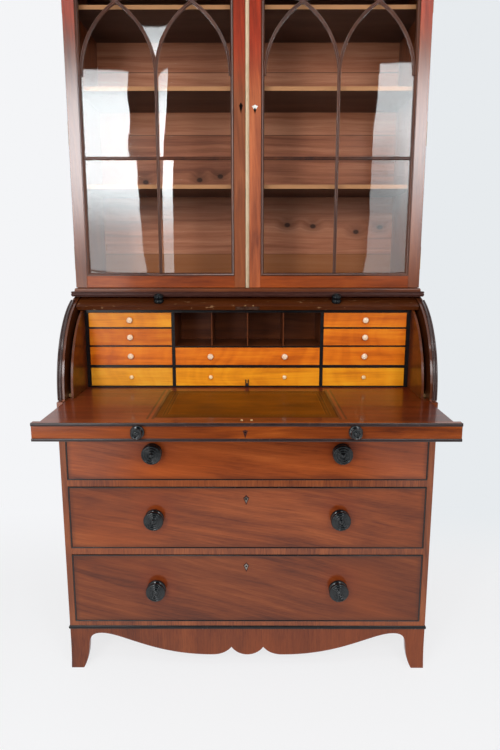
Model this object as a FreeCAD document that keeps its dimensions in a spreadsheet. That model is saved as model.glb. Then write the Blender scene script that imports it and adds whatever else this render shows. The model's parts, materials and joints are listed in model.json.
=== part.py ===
import FreeCAD
import Part
import os

Vector = FreeCAD.Vector
doc = FreeCAD.newDocument("CylinderDesk")

# Driving sizes in millimetres; names that end in turn are angles in degrees
sizes = {
    # chest
    "case_width": 1000,
    "side_thick": 16,
    "back_thick": 12,
    "back_clear": 9.4,
    "foot_height": 122.8,
    "foot_wide": 88,
    "foot_arch_up": 109.7,
    "foot_waist_in": 53,
    "foot_waist_up": 80,
    "foot_toe_in": 33,
    "foot_splay": 2,
    "foot_round": 20,
    "foot_shoulder": 7,
    "foot_ease": 2,
    "apron_thick": 16,
    "apron_low_x": 100,
    "apron_low_up": 42.2,
    "apron_cusp_x": 45,
    "apron_cusp_up": 66,
    "side_apron_drop": 46,
    "base_mould_height": 10.5,
    "base_mould_deep": 20,
    "mould_out": 3,
    "bottom_thick": 13.2,
    "low_drawer_height": 203,
    "mid_drawer_height": 179,
    "top_drawer_height": 157.5,
    "rail_thick": 18,
    "top_rail_thick": 12,
    # long drawers
    "front_thick": 18,
    "bead_thick": 3,
    "bead_proud": 2.5,
    "drawer_side_gap": 1.5,
    "drawer_low_gap": 0.6,
    "drawer_top_gap": 1.2,
    "drawer_back_gap": 12,
    "box_wall": 10,
    "box_inset": 2,
    "box_back": 9,
    "box_base": 7,
    "box_groove": 5,
    "box_drop": 6,
    "lock_half": 26,
    "lock_deep": 8,
    "lock_high": 50,
    "escutcheon_drop": 38,
    "escutcheon_half": 7,
    "escutcheon_half_high": 14,
    "escutcheon_proud": 0.5,
    "knob_radius": 27,
    "knob_len": 34,
    "knob_x": 252,
    # writing slide
    "fascia_height": 45,
    "fascia_thick": 18,
    "fascia_end_gap": 1,
    "strip_proud": 2,
    "strip_top": 8.5,
    "strip_low": 7.5,
    "slide_thick": 20,
    "slide_travel": 184,
    "slide_stop": 26,
    "slide_clear": 3,
    "slide_knob_radius": 16.7,
    "slide_knob_len": 22,
    "slide_knob_up": 23.4,
    "slide_lock_half": 30,
    "slide_lock_deep": 9,
    "slide_lock_gap": 2,
    "bolt_x": 11.5,
    "bolt_radius": 3,
    "bolt_proud": 0.6,
    "runner_wide": 44,
    "runner_setback": 10,
    "leather_half": 219.5,
    "leather_margin": 34,
    "leather_rear_margin": 54.6,
    "leather_thick": 1.5,
    # arch and cylinder
    "arch_setback": 20.5,
    "arch_radius": 255,
    "axis_rise": 11.5,
    "lip_thick": 4,
    "lip_wide": 12.5,
    "lip_over": 2.5,
    "lip_low_turn": 2.3,
    "lip_turn": 72.3,
    "shell_gap": 3.5,
    "shell_thick": 12,
    "shell_end_gap": 2,
    "shell_low_turn": 2,
    "rail_turn": 10,
    "shell_turn": 90,
    "open_turn": 66.3,
    "strike_half": 34,
    "strike_inset": 1.5,
    "strike_turn": 0.27,
    "cylinder_knob_radius": 14,
    "cylinder_knob_len": 26,
    "cylinder_knob_seat": 0.1,
    "cylinder_knob_turn": 3.7,
    "arm_half": 7,
    "arm_gap": 3.5,
    "arm_seat": 0.3,
    "hub_radius": 9,
    "pin_radius": 5,
    "pin_clear": 0.08,
    "pin_skin": 4,
    "pin_short": 1,
    "cut_over": 1,
    # nest
    "slot_wide": 12,
    "cheek_thick": 6,
    "cheek_clear": 3.5,
    "bearer_setback": 40,
    "bearer_thick": 8.5,
    "hub_room": 11,
    "nest_lift": 1,
    "nest_clear": 5.7,
    "nest_setback": 191.6,
    "nest_end": 10,
    "nest_floor": 3,
    "nest_bar": 7.5,
    "nest_cap": 11.7,
    "nest_post": 8.6,
    "nest_shelf": 3.7,
    "nest_rear": 5,
    "post_x": 209.4,
    "nest_low_row": 54,
    "nest_bank_row": 53.8,
    "nest_mid_row": 49,
    "centre_drawer_high": 52,
    "divider_thick": 3,
    "divider_setback": 8,
    "edge_thick": 3,
    "nest_face": 1,
    "nest_front_thick": 8,
    "nest_side_gap": 0.6,
    "nest_low_gap": 0.4,
    "nest_top_gap": 0.7,
    "nest_wall": 4,
    "nest_base": 3,
    "nest_groove": 1,
    "nest_drop": 3,
    "nest_back_gap": 9,
    "small_knob_radius": 8.5,
    "small_knob_len": 13,
    "low_knob_radius": 5.8,
    "low_knob_len": 10,
    "centre_knob_x": 107,
    "catch_wide": 10,
    "catch_off": 1.5,
    "catch_high": 18.6,
    "catch_thick": 5,
    # waist and bookcase
    "waist_clear": 7.52,
    "waist_thick": 10,
    "waist_drop": 3.5,
    "desk_top_thick": 10.7,
    "plinth_thick": 9.3,
    "plinth_out": 3,
    "plinth_front": 4,
    "door_step": 9,
    "door_thick": 19.5,
    "door_gap": 1.5,
    "door_back_gap": 0.5,
    "bookcase_step": 9,
    "bookcase_side": 18,
    "bookcase_height": 842.5,
    "book_floor": 14,
    "book_roof": 16,
    "plank_first": 95.5,
    "shelf_thick": 11,
    "shelf_setback": 20,
    "shelf_low": 277.6,
    "shelf_middle": 537.6,
    "shelf_high_drop": 99.7,
    "frieze_height": 36,
    "cornice_height": 42,
    "cornice_out": 22,
    # doors
    "stile_wide": 41,
    "meeting_wide": 40,
    "meeting_half": 6,
    "meeting_gap": 1,
    "strip_half": 5.25,
    "strip_off": 0.25,
    "strip_rise": 2.5,
    "strip_deep": 16,
    "door_rail": 42,
    "tracery_more": 14.75,
    "tracery_clear": 15.5,
    "cross_up": 311.5,
    "bar_wide": 9,
    "bar_deep": 7,
    "bar_setback": 1.5,
    "glass_thick": 2.5,
    "hinge_out": 3.9,
    "hinge_radius": 2,
    "hinge_half": 32,
    "hinge_inset": 83,
    "hinge_leaf": 1.5,
    "door_lock_in": 14,
    "door_lock_wide": 20,
    "door_lock_deep": 9,
    "door_lock_up": 455,
    "door_lock_high": 60,
}

# Positions that follow from the driving sizes; y is measured from the front of the chest
levels = {
    "half_wide": "Sizes.case_width / 2",
    "inner_half": "half_wide - Sizes.side_thick",
    "axis_y": "Sizes.arch_setback + Sizes.arch_radius",
    "shell_out": "Sizes.arch_radius - Sizes.shell_gap",
    "shell_in": "shell_out - Sizes.shell_thick",
    "shell_reach": "-shell_out * cos((Sizes.open_turn + Sizes.shell_turn) * 1 deg)",
    "inner_back": "axis_y + shell_reach + Sizes.back_clear",
    "case_depth": "inner_back + Sizes.back_thick",
    "front_y": "(Sizes.slide_travel + Sizes.fascia_thick + Sizes.slide_knob_len - case_depth) / 2",
    "case_floor": "Sizes.foot_height + Sizes.base_mould_height",
    "low_drawer": "case_floor + Sizes.bottom_thick",
    "low_rail": "low_drawer + Sizes.low_drawer_height",
    "mid_drawer": "low_rail + Sizes.rail_thick",
    "mid_rail": "mid_drawer + Sizes.mid_drawer_height",
    "top_drawer": "mid_rail + Sizes.rail_thick",
    "top_rail": "top_drawer + Sizes.top_drawer_height",
    "fascia_low": "top_rail + Sizes.top_rail_thick",
    "slide_top": "fascia_low + Sizes.fascia_height",
    "slide_low": "slide_top - Sizes.slide_thick",
    "slide_half": "inner_half - Sizes.slide_clear",
    "slide_rear": "inner_back - Sizes.slide_travel - Sizes.slide_stop",
    "fascia_back": "-Sizes.slide_travel",
    "fascia_front": "fascia_back - Sizes.fascia_thick",
    "fascia_face": "fascia_front + Sizes.strip_proud",
    "fascia_half": "half_wide - Sizes.fascia_end_gap",
    "leather_low": "slide_top - Sizes.leather_thick",
    "leather_front": "fascia_back + Sizes.leather_margin",
    "leather_back": "Sizes.nest_setback - Sizes.leather_rear_margin",
    "drawer_half": "inner_half - Sizes.drawer_side_gap",
    "front_half": "drawer_half - Sizes.bead_thick",
    "box_out": "drawer_half - Sizes.box_inset",
    "box_in": "box_out - Sizes.box_wall",
    "box_rear": "inner_back - Sizes.drawer_back_gap",
    "axis_up": "slide_top + Sizes.axis_rise",
    "case_top": "axis_up + Sizes.arch_radius",
    "shell_half": "inner_half - Sizes.shell_end_gap",
    "arm_out": "inner_half - Sizes.arm_gap",
    "cheek_out": "inner_half - Sizes.slot_wide",
    "cheek_in": "cheek_out - Sizes.cheek_thick",
    "cheek_radius": "shell_in - Sizes.cheek_clear",
    "arm_in": "cheek_out + Sizes.arm_gap",
    "pin_end": "half_wide - Sizes.pin_skin - Sizes.pin_short",
    "bank_out": "cheek_in - Sizes.nest_end",
    "bank_in": "Sizes.post_x + Sizes.nest_post",
    "bank_mid": "(bank_in + bank_out) / 2",
    "divider_x": "(Sizes.post_x - Sizes.divider_thick) / 2",
    "nest_front": "Sizes.nest_setback + Sizes.edge_thick",
    "nest_back": "2 * axis_y - Sizes.nest_setback",
    "nest_inside": "nest_back - Sizes.nest_rear",
    "nest_low": "slide_top + Sizes.nest_lift",
    "bearer_top": "nest_low + Sizes.bearer_thick",
    "hub_front": "axis_y - Sizes.hub_radius - Sizes.hub_room",
    "hub_back": "axis_y + Sizes.hub_radius + Sizes.hub_room",
    "row_low": "nest_low + Sizes.nest_floor",
    "bar_low": "row_low + Sizes.nest_low_row",
    "row_bank": "bar_low + Sizes.nest_bar",
    "shelf_bank": "row_bank + Sizes.nest_bank_row",
    "row_mid": "shelf_bank + Sizes.nest_shelf",
    "shelf_mid": "row_mid + Sizes.nest_mid_row",
    "row_top": "shelf_mid + Sizes.nest_shelf",
    "cap_radius": "shell_in - Sizes.nest_clear",
    "cap_top": "axis_up + sqrt(cap_radius ^ 2 - (axis_y - Sizes.nest_setback) ^ 2)",
    "cap_low": "cap_top - Sizes.nest_cap",
    "centre_shelf": "row_bank + Sizes.centre_drawer_high",
    "hole_low": "centre_shelf + Sizes.nest_shelf",
    "knob_reach": "shell_out * cos((Sizes.open_turn + Sizes.cylinder_knob_turn) * 1 deg)",
    "waist_front": "axis_y - knob_reach + Sizes.waist_clear",
    "waist_back": "waist_front + Sizes.waist_thick",
    "waist_low": "case_top - Sizes.waist_drop",
    "plinth_low": "case_top + Sizes.desk_top_thick",
    "book_low": "plinth_low + Sizes.plinth_thick",
    "book_top": "book_low + Sizes.bookcase_height",
    "book_half": "half_wide - Sizes.bookcase_step",
    "book_inner": "book_half - Sizes.bookcase_side",
    "door_front": "waist_front + Sizes.door_step",
    "door_back": "door_front + Sizes.door_thick",
    "book_front": "door_back + Sizes.door_back_gap",
    "shelf_front": "book_front + Sizes.shelf_setback",
    "shelf_high": "Sizes.bookcase_height - Sizes.shelf_high_drop",
    "frieze_top": "book_top + Sizes.frieze_height",
    "door_low": "book_low + Sizes.door_gap",
    "door_top": "book_top - Sizes.door_gap",
    "door_out": "book_half - Sizes.door_gap",
    "hinge_x": "door_out + Sizes.hinge_out",
    "glass_low": "door_low + Sizes.door_rail",
    "glass_top": "door_top - Sizes.door_rail",
    "glass_out": "door_out - Sizes.stile_wide",
    "glass_in": "Sizes.meeting_half + Sizes.meeting_wide",
    "column_mid": "(glass_out + glass_in) / 2",
    "tracery_radius": "column_mid - glass_in + Sizes.tracery_more",
    "spring_up": "glass_top - Sizes.tracery_clear - tracery_radius",
    "cross_mid": "glass_low + Sizes.cross_up",
    "bar_front": "door_front + Sizes.bar_setback",
    "bar_back": "bar_front + Sizes.bar_deep",
}

sheet = doc.addObject("Spreadsheet::Sheet", "Sizes")
for row, (alias, number) in enumerate(sizes.items(), start=1):
    sheet.set(f"A{row}", alias)
    sheet.set(f"B{row}", str(number))
    sheet.setAlias(f"B{row}", alias)
doc.recompute()

table = doc.addObject("Spreadsheet::Sheet", "Levels")
for row, (alias, formula) in enumerate(levels.items(), start=1):
    table.set(f"A{row}", alias)
    table.set(f"B{row}", f"={formula}")
    table.setAlias(f"B{row}", alias)
    doc.recompute()

nodes = []


# An expression in which every known alias is written with its sheet
def expand(text):
    out = ""
    word = ""
    for letter in str(text) + " ":
        if letter.isalnum() or letter in "_.":
            word += letter
            continue
        if word in sizes:
            word = f"Sizes.{word}"
        elif word in levels:
            word = f"Levels.{word}"
        out += word + letter
        word = ""
    return out.strip()


# The present number of a size or a level
def size(alias):
    source = sheet if alias in sizes else table
    return float(source.get(alias))


def bind(thing, prop, text):
    thing.setExpression(prop, expand(text))


# A board between two corners, each bound to the sheets
def board(x_low, x_high, y_low, y_high, z_low, z_high):
    thing = doc.addObject("Part::Box", "Board")
    bind(thing, "Length", f"({x_high}) - ({x_low})")
    bind(thing, "Width", f"({y_high}) - ({y_low})")
    bind(thing, "Height", f"({z_high}) - ({z_low})")
    bind(thing, "Placement.Base.x", x_low)
    bind(thing, "Placement.Base.y", y_low)
    bind(thing, "Placement.Base.z", z_low)
    return thing


# A board that runs as far to the left as to the right
def wide_board(half, y_low, y_high, z_low, z_high):
    return board(f"-({half})", half, y_low, y_high, z_low, z_high)


# A span on the right, or its mirror image on the left
def span(sign, low, high):
    if sign > 0:
        return low, high
    return f"-({high})", f"-({low})"


# The same board on the right and on the left
def boards_both(x_low, x_high, y_low, y_high, z_low, z_high):
    spans = [span(1, x_low, x_high), span(-1, x_low, x_high)]
    return [board(low, high, y_low, y_high, z_low, z_high) for low, high in spans]


def fuse(pieces):
    thing = doc.addObject("Part::MultiFuse", "Fuse")
    thing.Shapes = pieces
    thing.Refine = True
    return thing


def cut(base, tool):
    thing = doc.addObject("Part::Cut", "Cut")
    thing.Base = base
    thing.Tool = tool
    return thing


def common(base, tool):
    thing = doc.addObject("Part::MultiCommon", "Common")
    thing.Shapes = [base, tool]
    return thing


# A solid made from the present sizes
def solid(shape):
    thing = doc.addObject("Part::Feature", "Solid")
    thing.Shape = shape
    return thing


# A named piece of the desk, moved so that y is measured from the middle of its box
def node(label, pieces):
    thing = doc.addObject("Part::Compound", label)
    thing.Links = pieces
    thing.Label = label
    bind(thing, "Placement.Base.y", "front_y")
    nodes.append(thing)
    return thing


# A named piece of the cylinder, drawn closed about the pivot and turned to its open place
def cylinder_node(label, pieces):
    thing = node(label, pieces)
    thing.Placement = FreeCAD.Placement(Vector(0, 0, 0), FreeCAD.Rotation(Vector(-1, 0, 0), 1))
    bind(thing, "Placement.Base.y", "front_y + axis_y")
    bind(thing, "Placement.Base.z", "axis_up")
    bind(thing, "Placement.Rotation.Angle", "open_turn * 1 deg")
    return thing


# Frames of round pieces: along x with the turn running from the front upwards, along y, and upright
along_x = FreeCAD.Rotation(Vector(0, -1, 0), Vector(0, 0, 1), Vector(-1, 0, 0), "XYZ")
along_y = FreeCAD.Rotation(Vector(1, 0, 0), Vector(0, 0, 1), Vector(0, -1, 0), "XYZ")
upright = FreeCAD.Rotation()


def turned(angle):
    return FreeCAD.Rotation(Vector(0, 0, 1), angle)


# Place a round piece: its frame first, then each coordinate bound to the sheets
def place(thing, frame, x_text, y_text, z_text):
    thing.Placement = FreeCAD.Placement(Vector(0, 0, 0), frame)
    bind(thing, "Placement.Base.x", x_text)
    bind(thing, "Placement.Base.y", y_text)
    bind(thing, "Placement.Base.z", z_text)
    return thing


# Part of a round bar or of a ring; the turn starts at the x axis of its frame
def wedge(outer, inner, length, turn):
    ring = doc.addObject("Part::Cylinder", "Round")
    bind(ring, "Radius", outer)
    bind(ring, "Height", length)
    bind(ring, "Angle", turn)
    if inner is None:
        return ring
    hollow = doc.addObject("Part::Cylinder", "Hollow")
    bind(hollow, "Radius", inner)
    bind(hollow, "Height", f"({length}) + 2 * cut_over")
    bind(hollow, "Placement.Base.z", "-cut_over")
    return cut(ring, hollow)


# A sector of a ring about the pivot, from x_low to x_high
def pivot_ring(outer, inner, x_low, x_high, start, turn):
    ring = wedge(outer, inner, f"({x_high}) - ({x_low})", turn)
    return place(ring, along_x * turned(start), x_high, "0", "0")


# Turned knobs: rings of (start radius, end radius, length), as shares of the radius and of the length
big_rings = ((0.60, 0.60, 0.12), (0.34, 0.34, 0.36), (0.62, 1.0, 0.16), (1.0, 1.0, 0.14), (1.0, 0.66, 0.22))
small_rings = ((0.42, 0.42, 0.40), (0.70, 1.0, 0.20), (1.0, 0.60, 0.40))


def knob(rings, radius, length):
    pieces = []
    start = 0.0
    for first, last, share in rings:
        if first == last:
            ring = doc.addObject("Part::Cylinder", "Ring")
            bind(ring, "Radius", f"({radius}) * {first}")
        else:
            ring = doc.addObject("Part::Cone", "Ring")
            bind(ring, "Radius1", f"({radius}) * {first}")
            bind(ring, "Radius2", f"({radius}) * {last}")
        bind(ring, "Height", f"({length}) * {share}")
        bind(ring, "Placement.Base.z", f"({length}) * {start}")
        start += share
        pieces.append(ring)
    return fuse(pieces)


def knob_at(rings, radius, length, x_text, y_text, z_text):
    return place(knob(rings, radius, length), along_y, x_text, y_text, z_text)


# A flat outline drawn in x and z, thickened along y
def plate(edges, y_low, y_high):
    face = Part.Face(Part.Wire(Part.__sortEdges__(edges)))
    face.translate(Vector(0, y_low, 0))
    return face.extrude(Vector(0, y_high - y_low, 0))


def flat(x, z):
    return Vector(x, 0, z)


def lines(points):
    return [Part.makeLine(first, last) for first, last in zip(points, points[1:])]


def bezier(points):
    curve = Part.BezierCurve()
    curve.setPoles(points)
    return curve.toShape()


# Chest sides with the arch that carries the cylinder
def chest_side(label, sign):
    low, high = span(sign, "inner_half", "half_wide")
    trunk = board(low, high, "0", "case_depth", "case_floor", "slide_top")
    step = board(low, high, "arch_setback", "case_depth", "slide_top", "axis_up")
    rear = board(low, high, "axis_y", "case_depth", "axis_up", "case_top")
    arch = place(wedge("arch_radius", None, "side_thick", "90"), along_x, high, "axis_y", "axis_up")
    hole_low, hole_high = span(sign, "inner_half - cut_over", "half_wide - pin_skin")
    hole = wedge("pin_radius + pin_clear", None, f"({hole_high}) - ({hole_low})", "360")
    place(hole, along_x, hole_high, "axis_y", "axis_up")
    node(label, [cut(fuse([trunk, step, rear, arch]), hole)])


chest_side("side_right", 1)
chest_side("side_left", -1)
node("case_back", [wide_board("inner_half", "inner_back", "case_depth", "case_floor", "case_top")])

# Bottom, and the drawer rails with their dust boards
rails = [("case_floor", "low_drawer"), ("low_rail", "mid_drawer")]
rails += [("mid_rail", "top_drawer"), ("top_rail", "fascia_low")]
node("drawer_rails", [wide_board("inner_half", "0", "inner_back", low, high) for low, high in rails])

# Ebonised mouldings round the base and round the waist
mould_half = "half_wide + mould_out"
mouldings = [wide_board(mould_half, "-mould_out", "base_mould_deep", "foot_height", "case_floor")]
mould_in = "half_wide - base_mould_deep"
mouldings += boards_both(mould_in, mould_half, "base_mould_deep", "case_depth", "foot_height", "case_floor")
mouldings.append(wide_board(mould_half, "waist_front", "waist_back", "waist_low", "plinth_low"))
mouldings += boards_both("half_wide", mould_half, "waist_back", "case_depth", "waist_low", "plinth_low")
node("case_mouldings", mouldings)

# Shaped front apron: a round lobe, two cusps and a long sweep up to each foot
foot_high = size("foot_height")
apron_thick = size("apron_thick")
arch_x = size("half_wide") - size("foot_wide")
arch_up = size("foot_arch_up")


def apron_edges():
    low_x, low_up = size("apron_low_x"), size("apron_low_up")
    cusp_x, cusp_up = size("apron_cusp_x"), size("apron_cusp_up")
    edges = [Part.Arc(flat(-cusp_x, cusp_up), flat(0, low_up), flat(cusp_x, cusp_up)).toShape()]
    turn_x = cusp_x + (low_x - cusp_x) * 0.24
    turn_up = low_up + (cusp_up - low_up) * 0.33
    for sign in (1, -1):
        scoop = [(cusp_x, cusp_up), (turn_x, turn_up), (low_x * 0.75, low_up), (low_x, low_up)]
        reach = arch_x - low_x
        bend = [(low_x + reach * 0.545, low_up), (arch_x - reach * 0.192, arch_up)]
        sweep = [(low_x, low_up)] + bend + [(arch_x, arch_up)]
        edges += [bezier([flat(sign * x, up) for x, up in curve]) for curve in (scoop, sweep)]
    rim = ((arch_x, arch_up), (arch_x, foot_high), (-arch_x, foot_high), (-arch_x, arch_up))
    return edges + lines([flat(x, up) for x, up in rim])


front_apron = solid(plate(apron_edges(), 0, apron_thick))
side_aprons = boards_both("half_wide - apron_thick", "half_wide", "foot_wide", "case_depth - foot_wide",
                          "foot_height - side_apron_drop", "foot_height")
node("aprons", [front_apron] + side_aprons)


# Outline of a bracket foot, by distance in from the corner of the chest
def bracket(splay, corner_in):
    wide, toe = size("foot_wide"), size("foot_toe_in")
    waist, waist_up = size("foot_waist_in"), size("foot_waist_up")
    ease = size("foot_ease")
    high_turn = flat(wide - size("foot_round"), arch_up)
    low_turn = flat(waist + ease, arch_up - size("foot_shoulder"))
    shoulder = bezier([flat(wide, arch_up), high_turn, low_turn, flat(waist, waist_up)])
    calf_turn = [flat(waist - ease, waist_up * 0.69), flat(waist - ease * 2.5, waist_up * 0.31)]
    calf = bezier([flat(waist, waist_up)] + calf_turn + [flat(toe, 0)])
    heel = bezier([flat(-splay, 0), flat(corner_in + ease / 2, foot_high * 0.4), flat(corner_in, foot_high)])
    rim = lines([flat(toe, 0), flat(-splay, 0)])
    rim += lines([flat(corner_in, foot_high), flat(wide, foot_high), flat(wide, arch_up)])
    return [shoulder, calf, heel] + rim


# A splayed bracket foot of two shaped plates that meet at the corner
def bracket_foot():
    front = plate(bracket(size("foot_splay"), 0), 0, apron_thick)
    side = plate(bracket(-apron_thick, apron_thick), 0, apron_thick)
    side.rotate(Vector(0, 0, 0), Vector(0, 0, 1), 90)
    side.translate(Vector(apron_thick, 0, 0))
    shape = front.fuse(side).removeSplitter()
    shape.translate(Vector(-size("half_wide"), 0, 0))
    return shape


foot_left = bracket_foot()
foot_right = foot_left.mirror(Vector(0, 0, 0), Vector(1, 0, 0))
middle = Vector(0, size("case_depth") / 2, 0)
rear_feet = [foot.mirror(middle, Vector(0, 1, 0)) for foot in (foot_left, foot_right)]
node("bracket_feet", [solid(shape) for shape in [foot_left, foot_right] + rear_feet])

node("desk_top", [wide_board("half_wide", "waist_back", "case_depth", "case_top", "plinth_low")])

# Ebonised lips on the arched edges of the sides
lips = []
for sign in (1, -1):
    low, high = span(sign, "half_wide + lip_over - lip_wide", "half_wide + lip_over")
    lip = pivot_ring("arch_radius + lip_thick", "arch_radius", low, high, -size("lip_low_turn"), "lip_turn")
    bind(lip, "Placement.Base.y", "axis_y")
    bind(lip, "Placement.Base.z", "axis_up")
    lips.append(lip)
node("arch_lips", lips)

# Blocks that carry the slide from below and the nest from the sides
runner_in = "inner_half - runner_wide"
bearer_front = "arch_setback + bearer_setback"
blocks = boards_both(runner_in, "inner_half", "runner_setback", "inner_back", "fascia_low", "slide_low")
blocks += boards_both("cheek_out", "inner_half", bearer_front, "hub_front", "nest_low", "bearer_top")
blocks += boards_both("cheek_out", "inner_half", "hub_back", "nest_back", "nest_low", "bearer_top")
node("runner_blocks", blocks)


# Boards of the nest that show an edge at the front: floor, bar, cap, ends, posts and shelves
def nest_grid(y_low, y_high, y_inside):
    boards = [wide_board("cheek_in", y_low, y_high, "nest_low", "row_low")]
    boards.append(wide_board("bank_out", y_low, y_high, "bar_low", "row_bank"))
    boards.append(wide_board("cheek_in", y_low, y_high, "cap_low", "cap_top"))
    boards += boards_both("bank_out", "cheek_in", y_low, y_high, "row_low", "cap_low")
    for low, high in (("row_low", "bar_low"), ("row_bank", "cap_low")):
        boards += boards_both("post_x", "bank_in", y_low, y_inside, low, high)
    for low, high in (("shelf_bank", "row_mid"), ("shelf_mid", "row_top")):
        boards += boards_both("bank_in", "bank_out", y_low, y_inside, low, high)
    boards.append(wide_board("post_x", y_low, y_inside, "centre_shelf", "hole_low"))
    return boards


nest = nest_grid("nest_front", "nest_back", "nest_inside")
for low, high in (("row_low", "bar_low"), ("row_bank", "cap_low")):
    nest.append(wide_board("bank_out", "nest_inside", "nest_back", low, high))
for middle_x in ("-divider_x", "0", "divider_x"):
    nest.append(board(f"{middle_x} - divider_thick / 2", f"{middle_x} + divider_thick / 2",
                      "nest_setback + divider_setback", "nest_inside", "hole_low", "cap_low"))
for sign in (1, -1):
    low, high = span(sign, "cheek_in", "cheek_out")
    blank = board(low, high, "axis_y - cheek_radius", "nest_back", "nest_low", "axis_up + shell_in")
    disc = place(wedge("cheek_radius", None, "cheek_thick", "360"), along_x, high, "axis_y", "axis_up")
    nest.append(common(blank, disc))
node("nest_boards", nest)
node("nest_edging", nest_grid("nest_setback", "nest_front", "nest_front"))

# Bookcase
walls = boards_both("book_inner", "book_half", "book_front", "case_depth", "book_low", "book_top")
node("bookcase_sides", walls)
plinth_half, plinth_face = "book_half + plinth_out", "door_front - plinth_front"
ends = [wide_board(plinth_half, plinth_face, "case_depth", "plinth_low", "book_low")]
ends.append(wide_board("book_inner", "book_front", "inner_back", "book_low", "book_low + book_floor"))
ends.append(wide_board("book_inner", "book_front", "inner_back", "book_top - book_roof", "book_top"))
node("bookcase_ends", ends)
full_planks = 4
plank_high = f"(bookcase_height - plank_first) / {full_planks}"
seams = ["book_low"]
seams += [f"book_low + plank_first + {plank_high} * {number}" for number in range(full_planks + 1)]
planks = [wide_board("book_inner", "inner_back", "case_depth", low, high) for low, high in zip(seams, seams[1:])]
node("bookcase_back", planks)
shelves = []
for height in ("shelf_low", "shelf_middle", "shelf_high"):
    under = f"book_low + {height}"
    shelves.append(wide_board("book_inner", "shelf_front", "inner_back", under, f"{under} + shelf_thick"))
node("shelves", shelves)

# Built-up cornice: a frieze and three members, each (start, end, overhang) as shares of height and overhang
cornice_members = ((0, 0.28, 0.28), (0.28, 0.74, 0.66), (0.74, 1.0, 1.0))
cornice = [wide_board("book_half", "door_front", "case_depth", "book_top", "frieze_top")]
for first, last, out in cornice_members:
    member_half, member_face = f"book_half + cornice_out * {out}", f"door_front - cornice_out * {out}"
    member_low, member_top = f"frieze_top + cornice_height * {first}", f"frieze_top + cornice_height * {last}"
    cornice.append(wide_board(member_half, member_face, "case_depth", member_low, member_top))
node("cornice", cornice)

# Cylinder: curved shell and front rail
shell = pivot_ring("shell_out", "shell_in", "-shell_half", "shell_half", size("rail_turn"),
                   "shell_turn - rail_turn")
cylinder_node("cylinder_shell", [shell])
rail = pivot_ring("shell_out", "shell_in", "-shell_half", "shell_half", -size("shell_low_turn"),
                  "rail_turn + shell_low_turn")
cylinder_node("cylinder_rail", [rail])

# Knobs of the cylinder, each turned up a little from its lower edge
cylinder_knobs = []
for sign in ("-", ""):
    piece = knob(big_rings, "cylinder_knob_radius", "cylinder_knob_len")
    piece.Placement = FreeCAD.Placement(Vector(0, 0, 0), along_y)
    bind(piece, "Placement.Base.y", "-shell_out - cylinder_knob_seat")
    holder = doc.addObject("Part::Compound", "Holder")
    holder.Links = [piece]
    knob_turn = FreeCAD.Rotation(Vector(-1, 0, 0), size("cylinder_knob_turn"))
    holder.Placement = FreeCAD.Placement(Vector(0, 0, 0), knob_turn)
    bind(holder, "Placement.Base.x", f"{sign}knob_x")
    cylinder_knobs.append(holder)
cylinder_node("cylinder_knobs", cylinder_knobs)


# One radius arm with its hub and the pin that turns in the side
def radius_arm(sign):
    low, high = span(sign, "arm_in", "arm_out")
    blank = board(low, high, "-arm_half", "arm_half", "0", "shell_in - arm_seat")
    bar = common(blank, pivot_ring("shell_in - arm_seat", None, low, high, 0, "180"))
    hub = pivot_ring("hub_radius", None, low, high, 0, "360")
    pin_low, pin_high = span(sign, "arm_in", "pin_end")
    pin = pivot_ring("pin_radius", None, pin_low, pin_high, 0, "360")
    return fuse([bar, hub, pin])


strike_start = -size("shell_low_turn") - size("strike_turn")
strike = pivot_ring("shell_out - strike_inset", "shell_in + strike_inset", "-strike_half", "strike_half",
                    strike_start, "strike_turn")
cylinder_node("cylinder_fittings", [radius_arm(1), radius_arm(-1), strike])

# Writing slide, drawn pulled out
blank = wide_board("slide_half", "fascia_back", "slide_rear", "slide_low", "slide_top")
recess = wide_board("leather_half", "leather_front", "leather_back", "leather_low", "slide_top + cut_over")
node("slide_board", [cut(blank, recess)])
leather = wide_board("leather_half", "leather_front", "leather_back", "leather_low", "slide_top")
node("slide_leather", [leather])
node("slide_fascia", [wide_board("fascia_half", "fascia_face", "fascia_back", "fascia_low", "slide_top")])
strips = [wide_board("fascia_half", "fascia_front", "fascia_face", "slide_top - strip_top", "slide_top")]
strips.append(wide_board("fascia_half", "fascia_front", "fascia_face", "fascia_low", "fascia_low + strip_low"))
node("slide_strips", strips)
slide_knob_mid = "fascia_low + slide_knob_up"
slide_knob_reach = "slide_knob_len + strip_proud"
slide_knobs = []
for x in ("-knob_x", "knob_x"):
    slide_knob = knob_at(big_rings, "slide_knob_radius", slide_knob_reach, x, "fascia_face", slide_knob_mid)
    slide_knobs.append(slide_knob)
node("slide_knobs", slide_knobs)
lock_back, lock_low = "fascia_back + slide_lock_deep", "fascia_low + slide_lock_gap"
lock = [wide_board("slide_lock_half", "fascia_back", lock_back, lock_low, "slide_low")]
for x in ("-bolt_x", "bolt_x"):
    bolt = wedge("bolt_radius", None, "bolt_proud", "360")
    lock.append(place(bolt, upright, x, lock_back, "slide_top"))
node("slide_lock", lock)


# A kite-shaped plate on a drawer front
def kite(z_mid):
    half, tall = size("escutcheon_half"), size("escutcheon_half_high")
    corners = ((0, tall), (half, tall * 0.25), (0, -tall), (-half, tall * 0.25), (0, tall))
    return plate(lines([flat(x, z_mid + up) for x, up in corners]), -size("escutcheon_proud"), 0)


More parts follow.
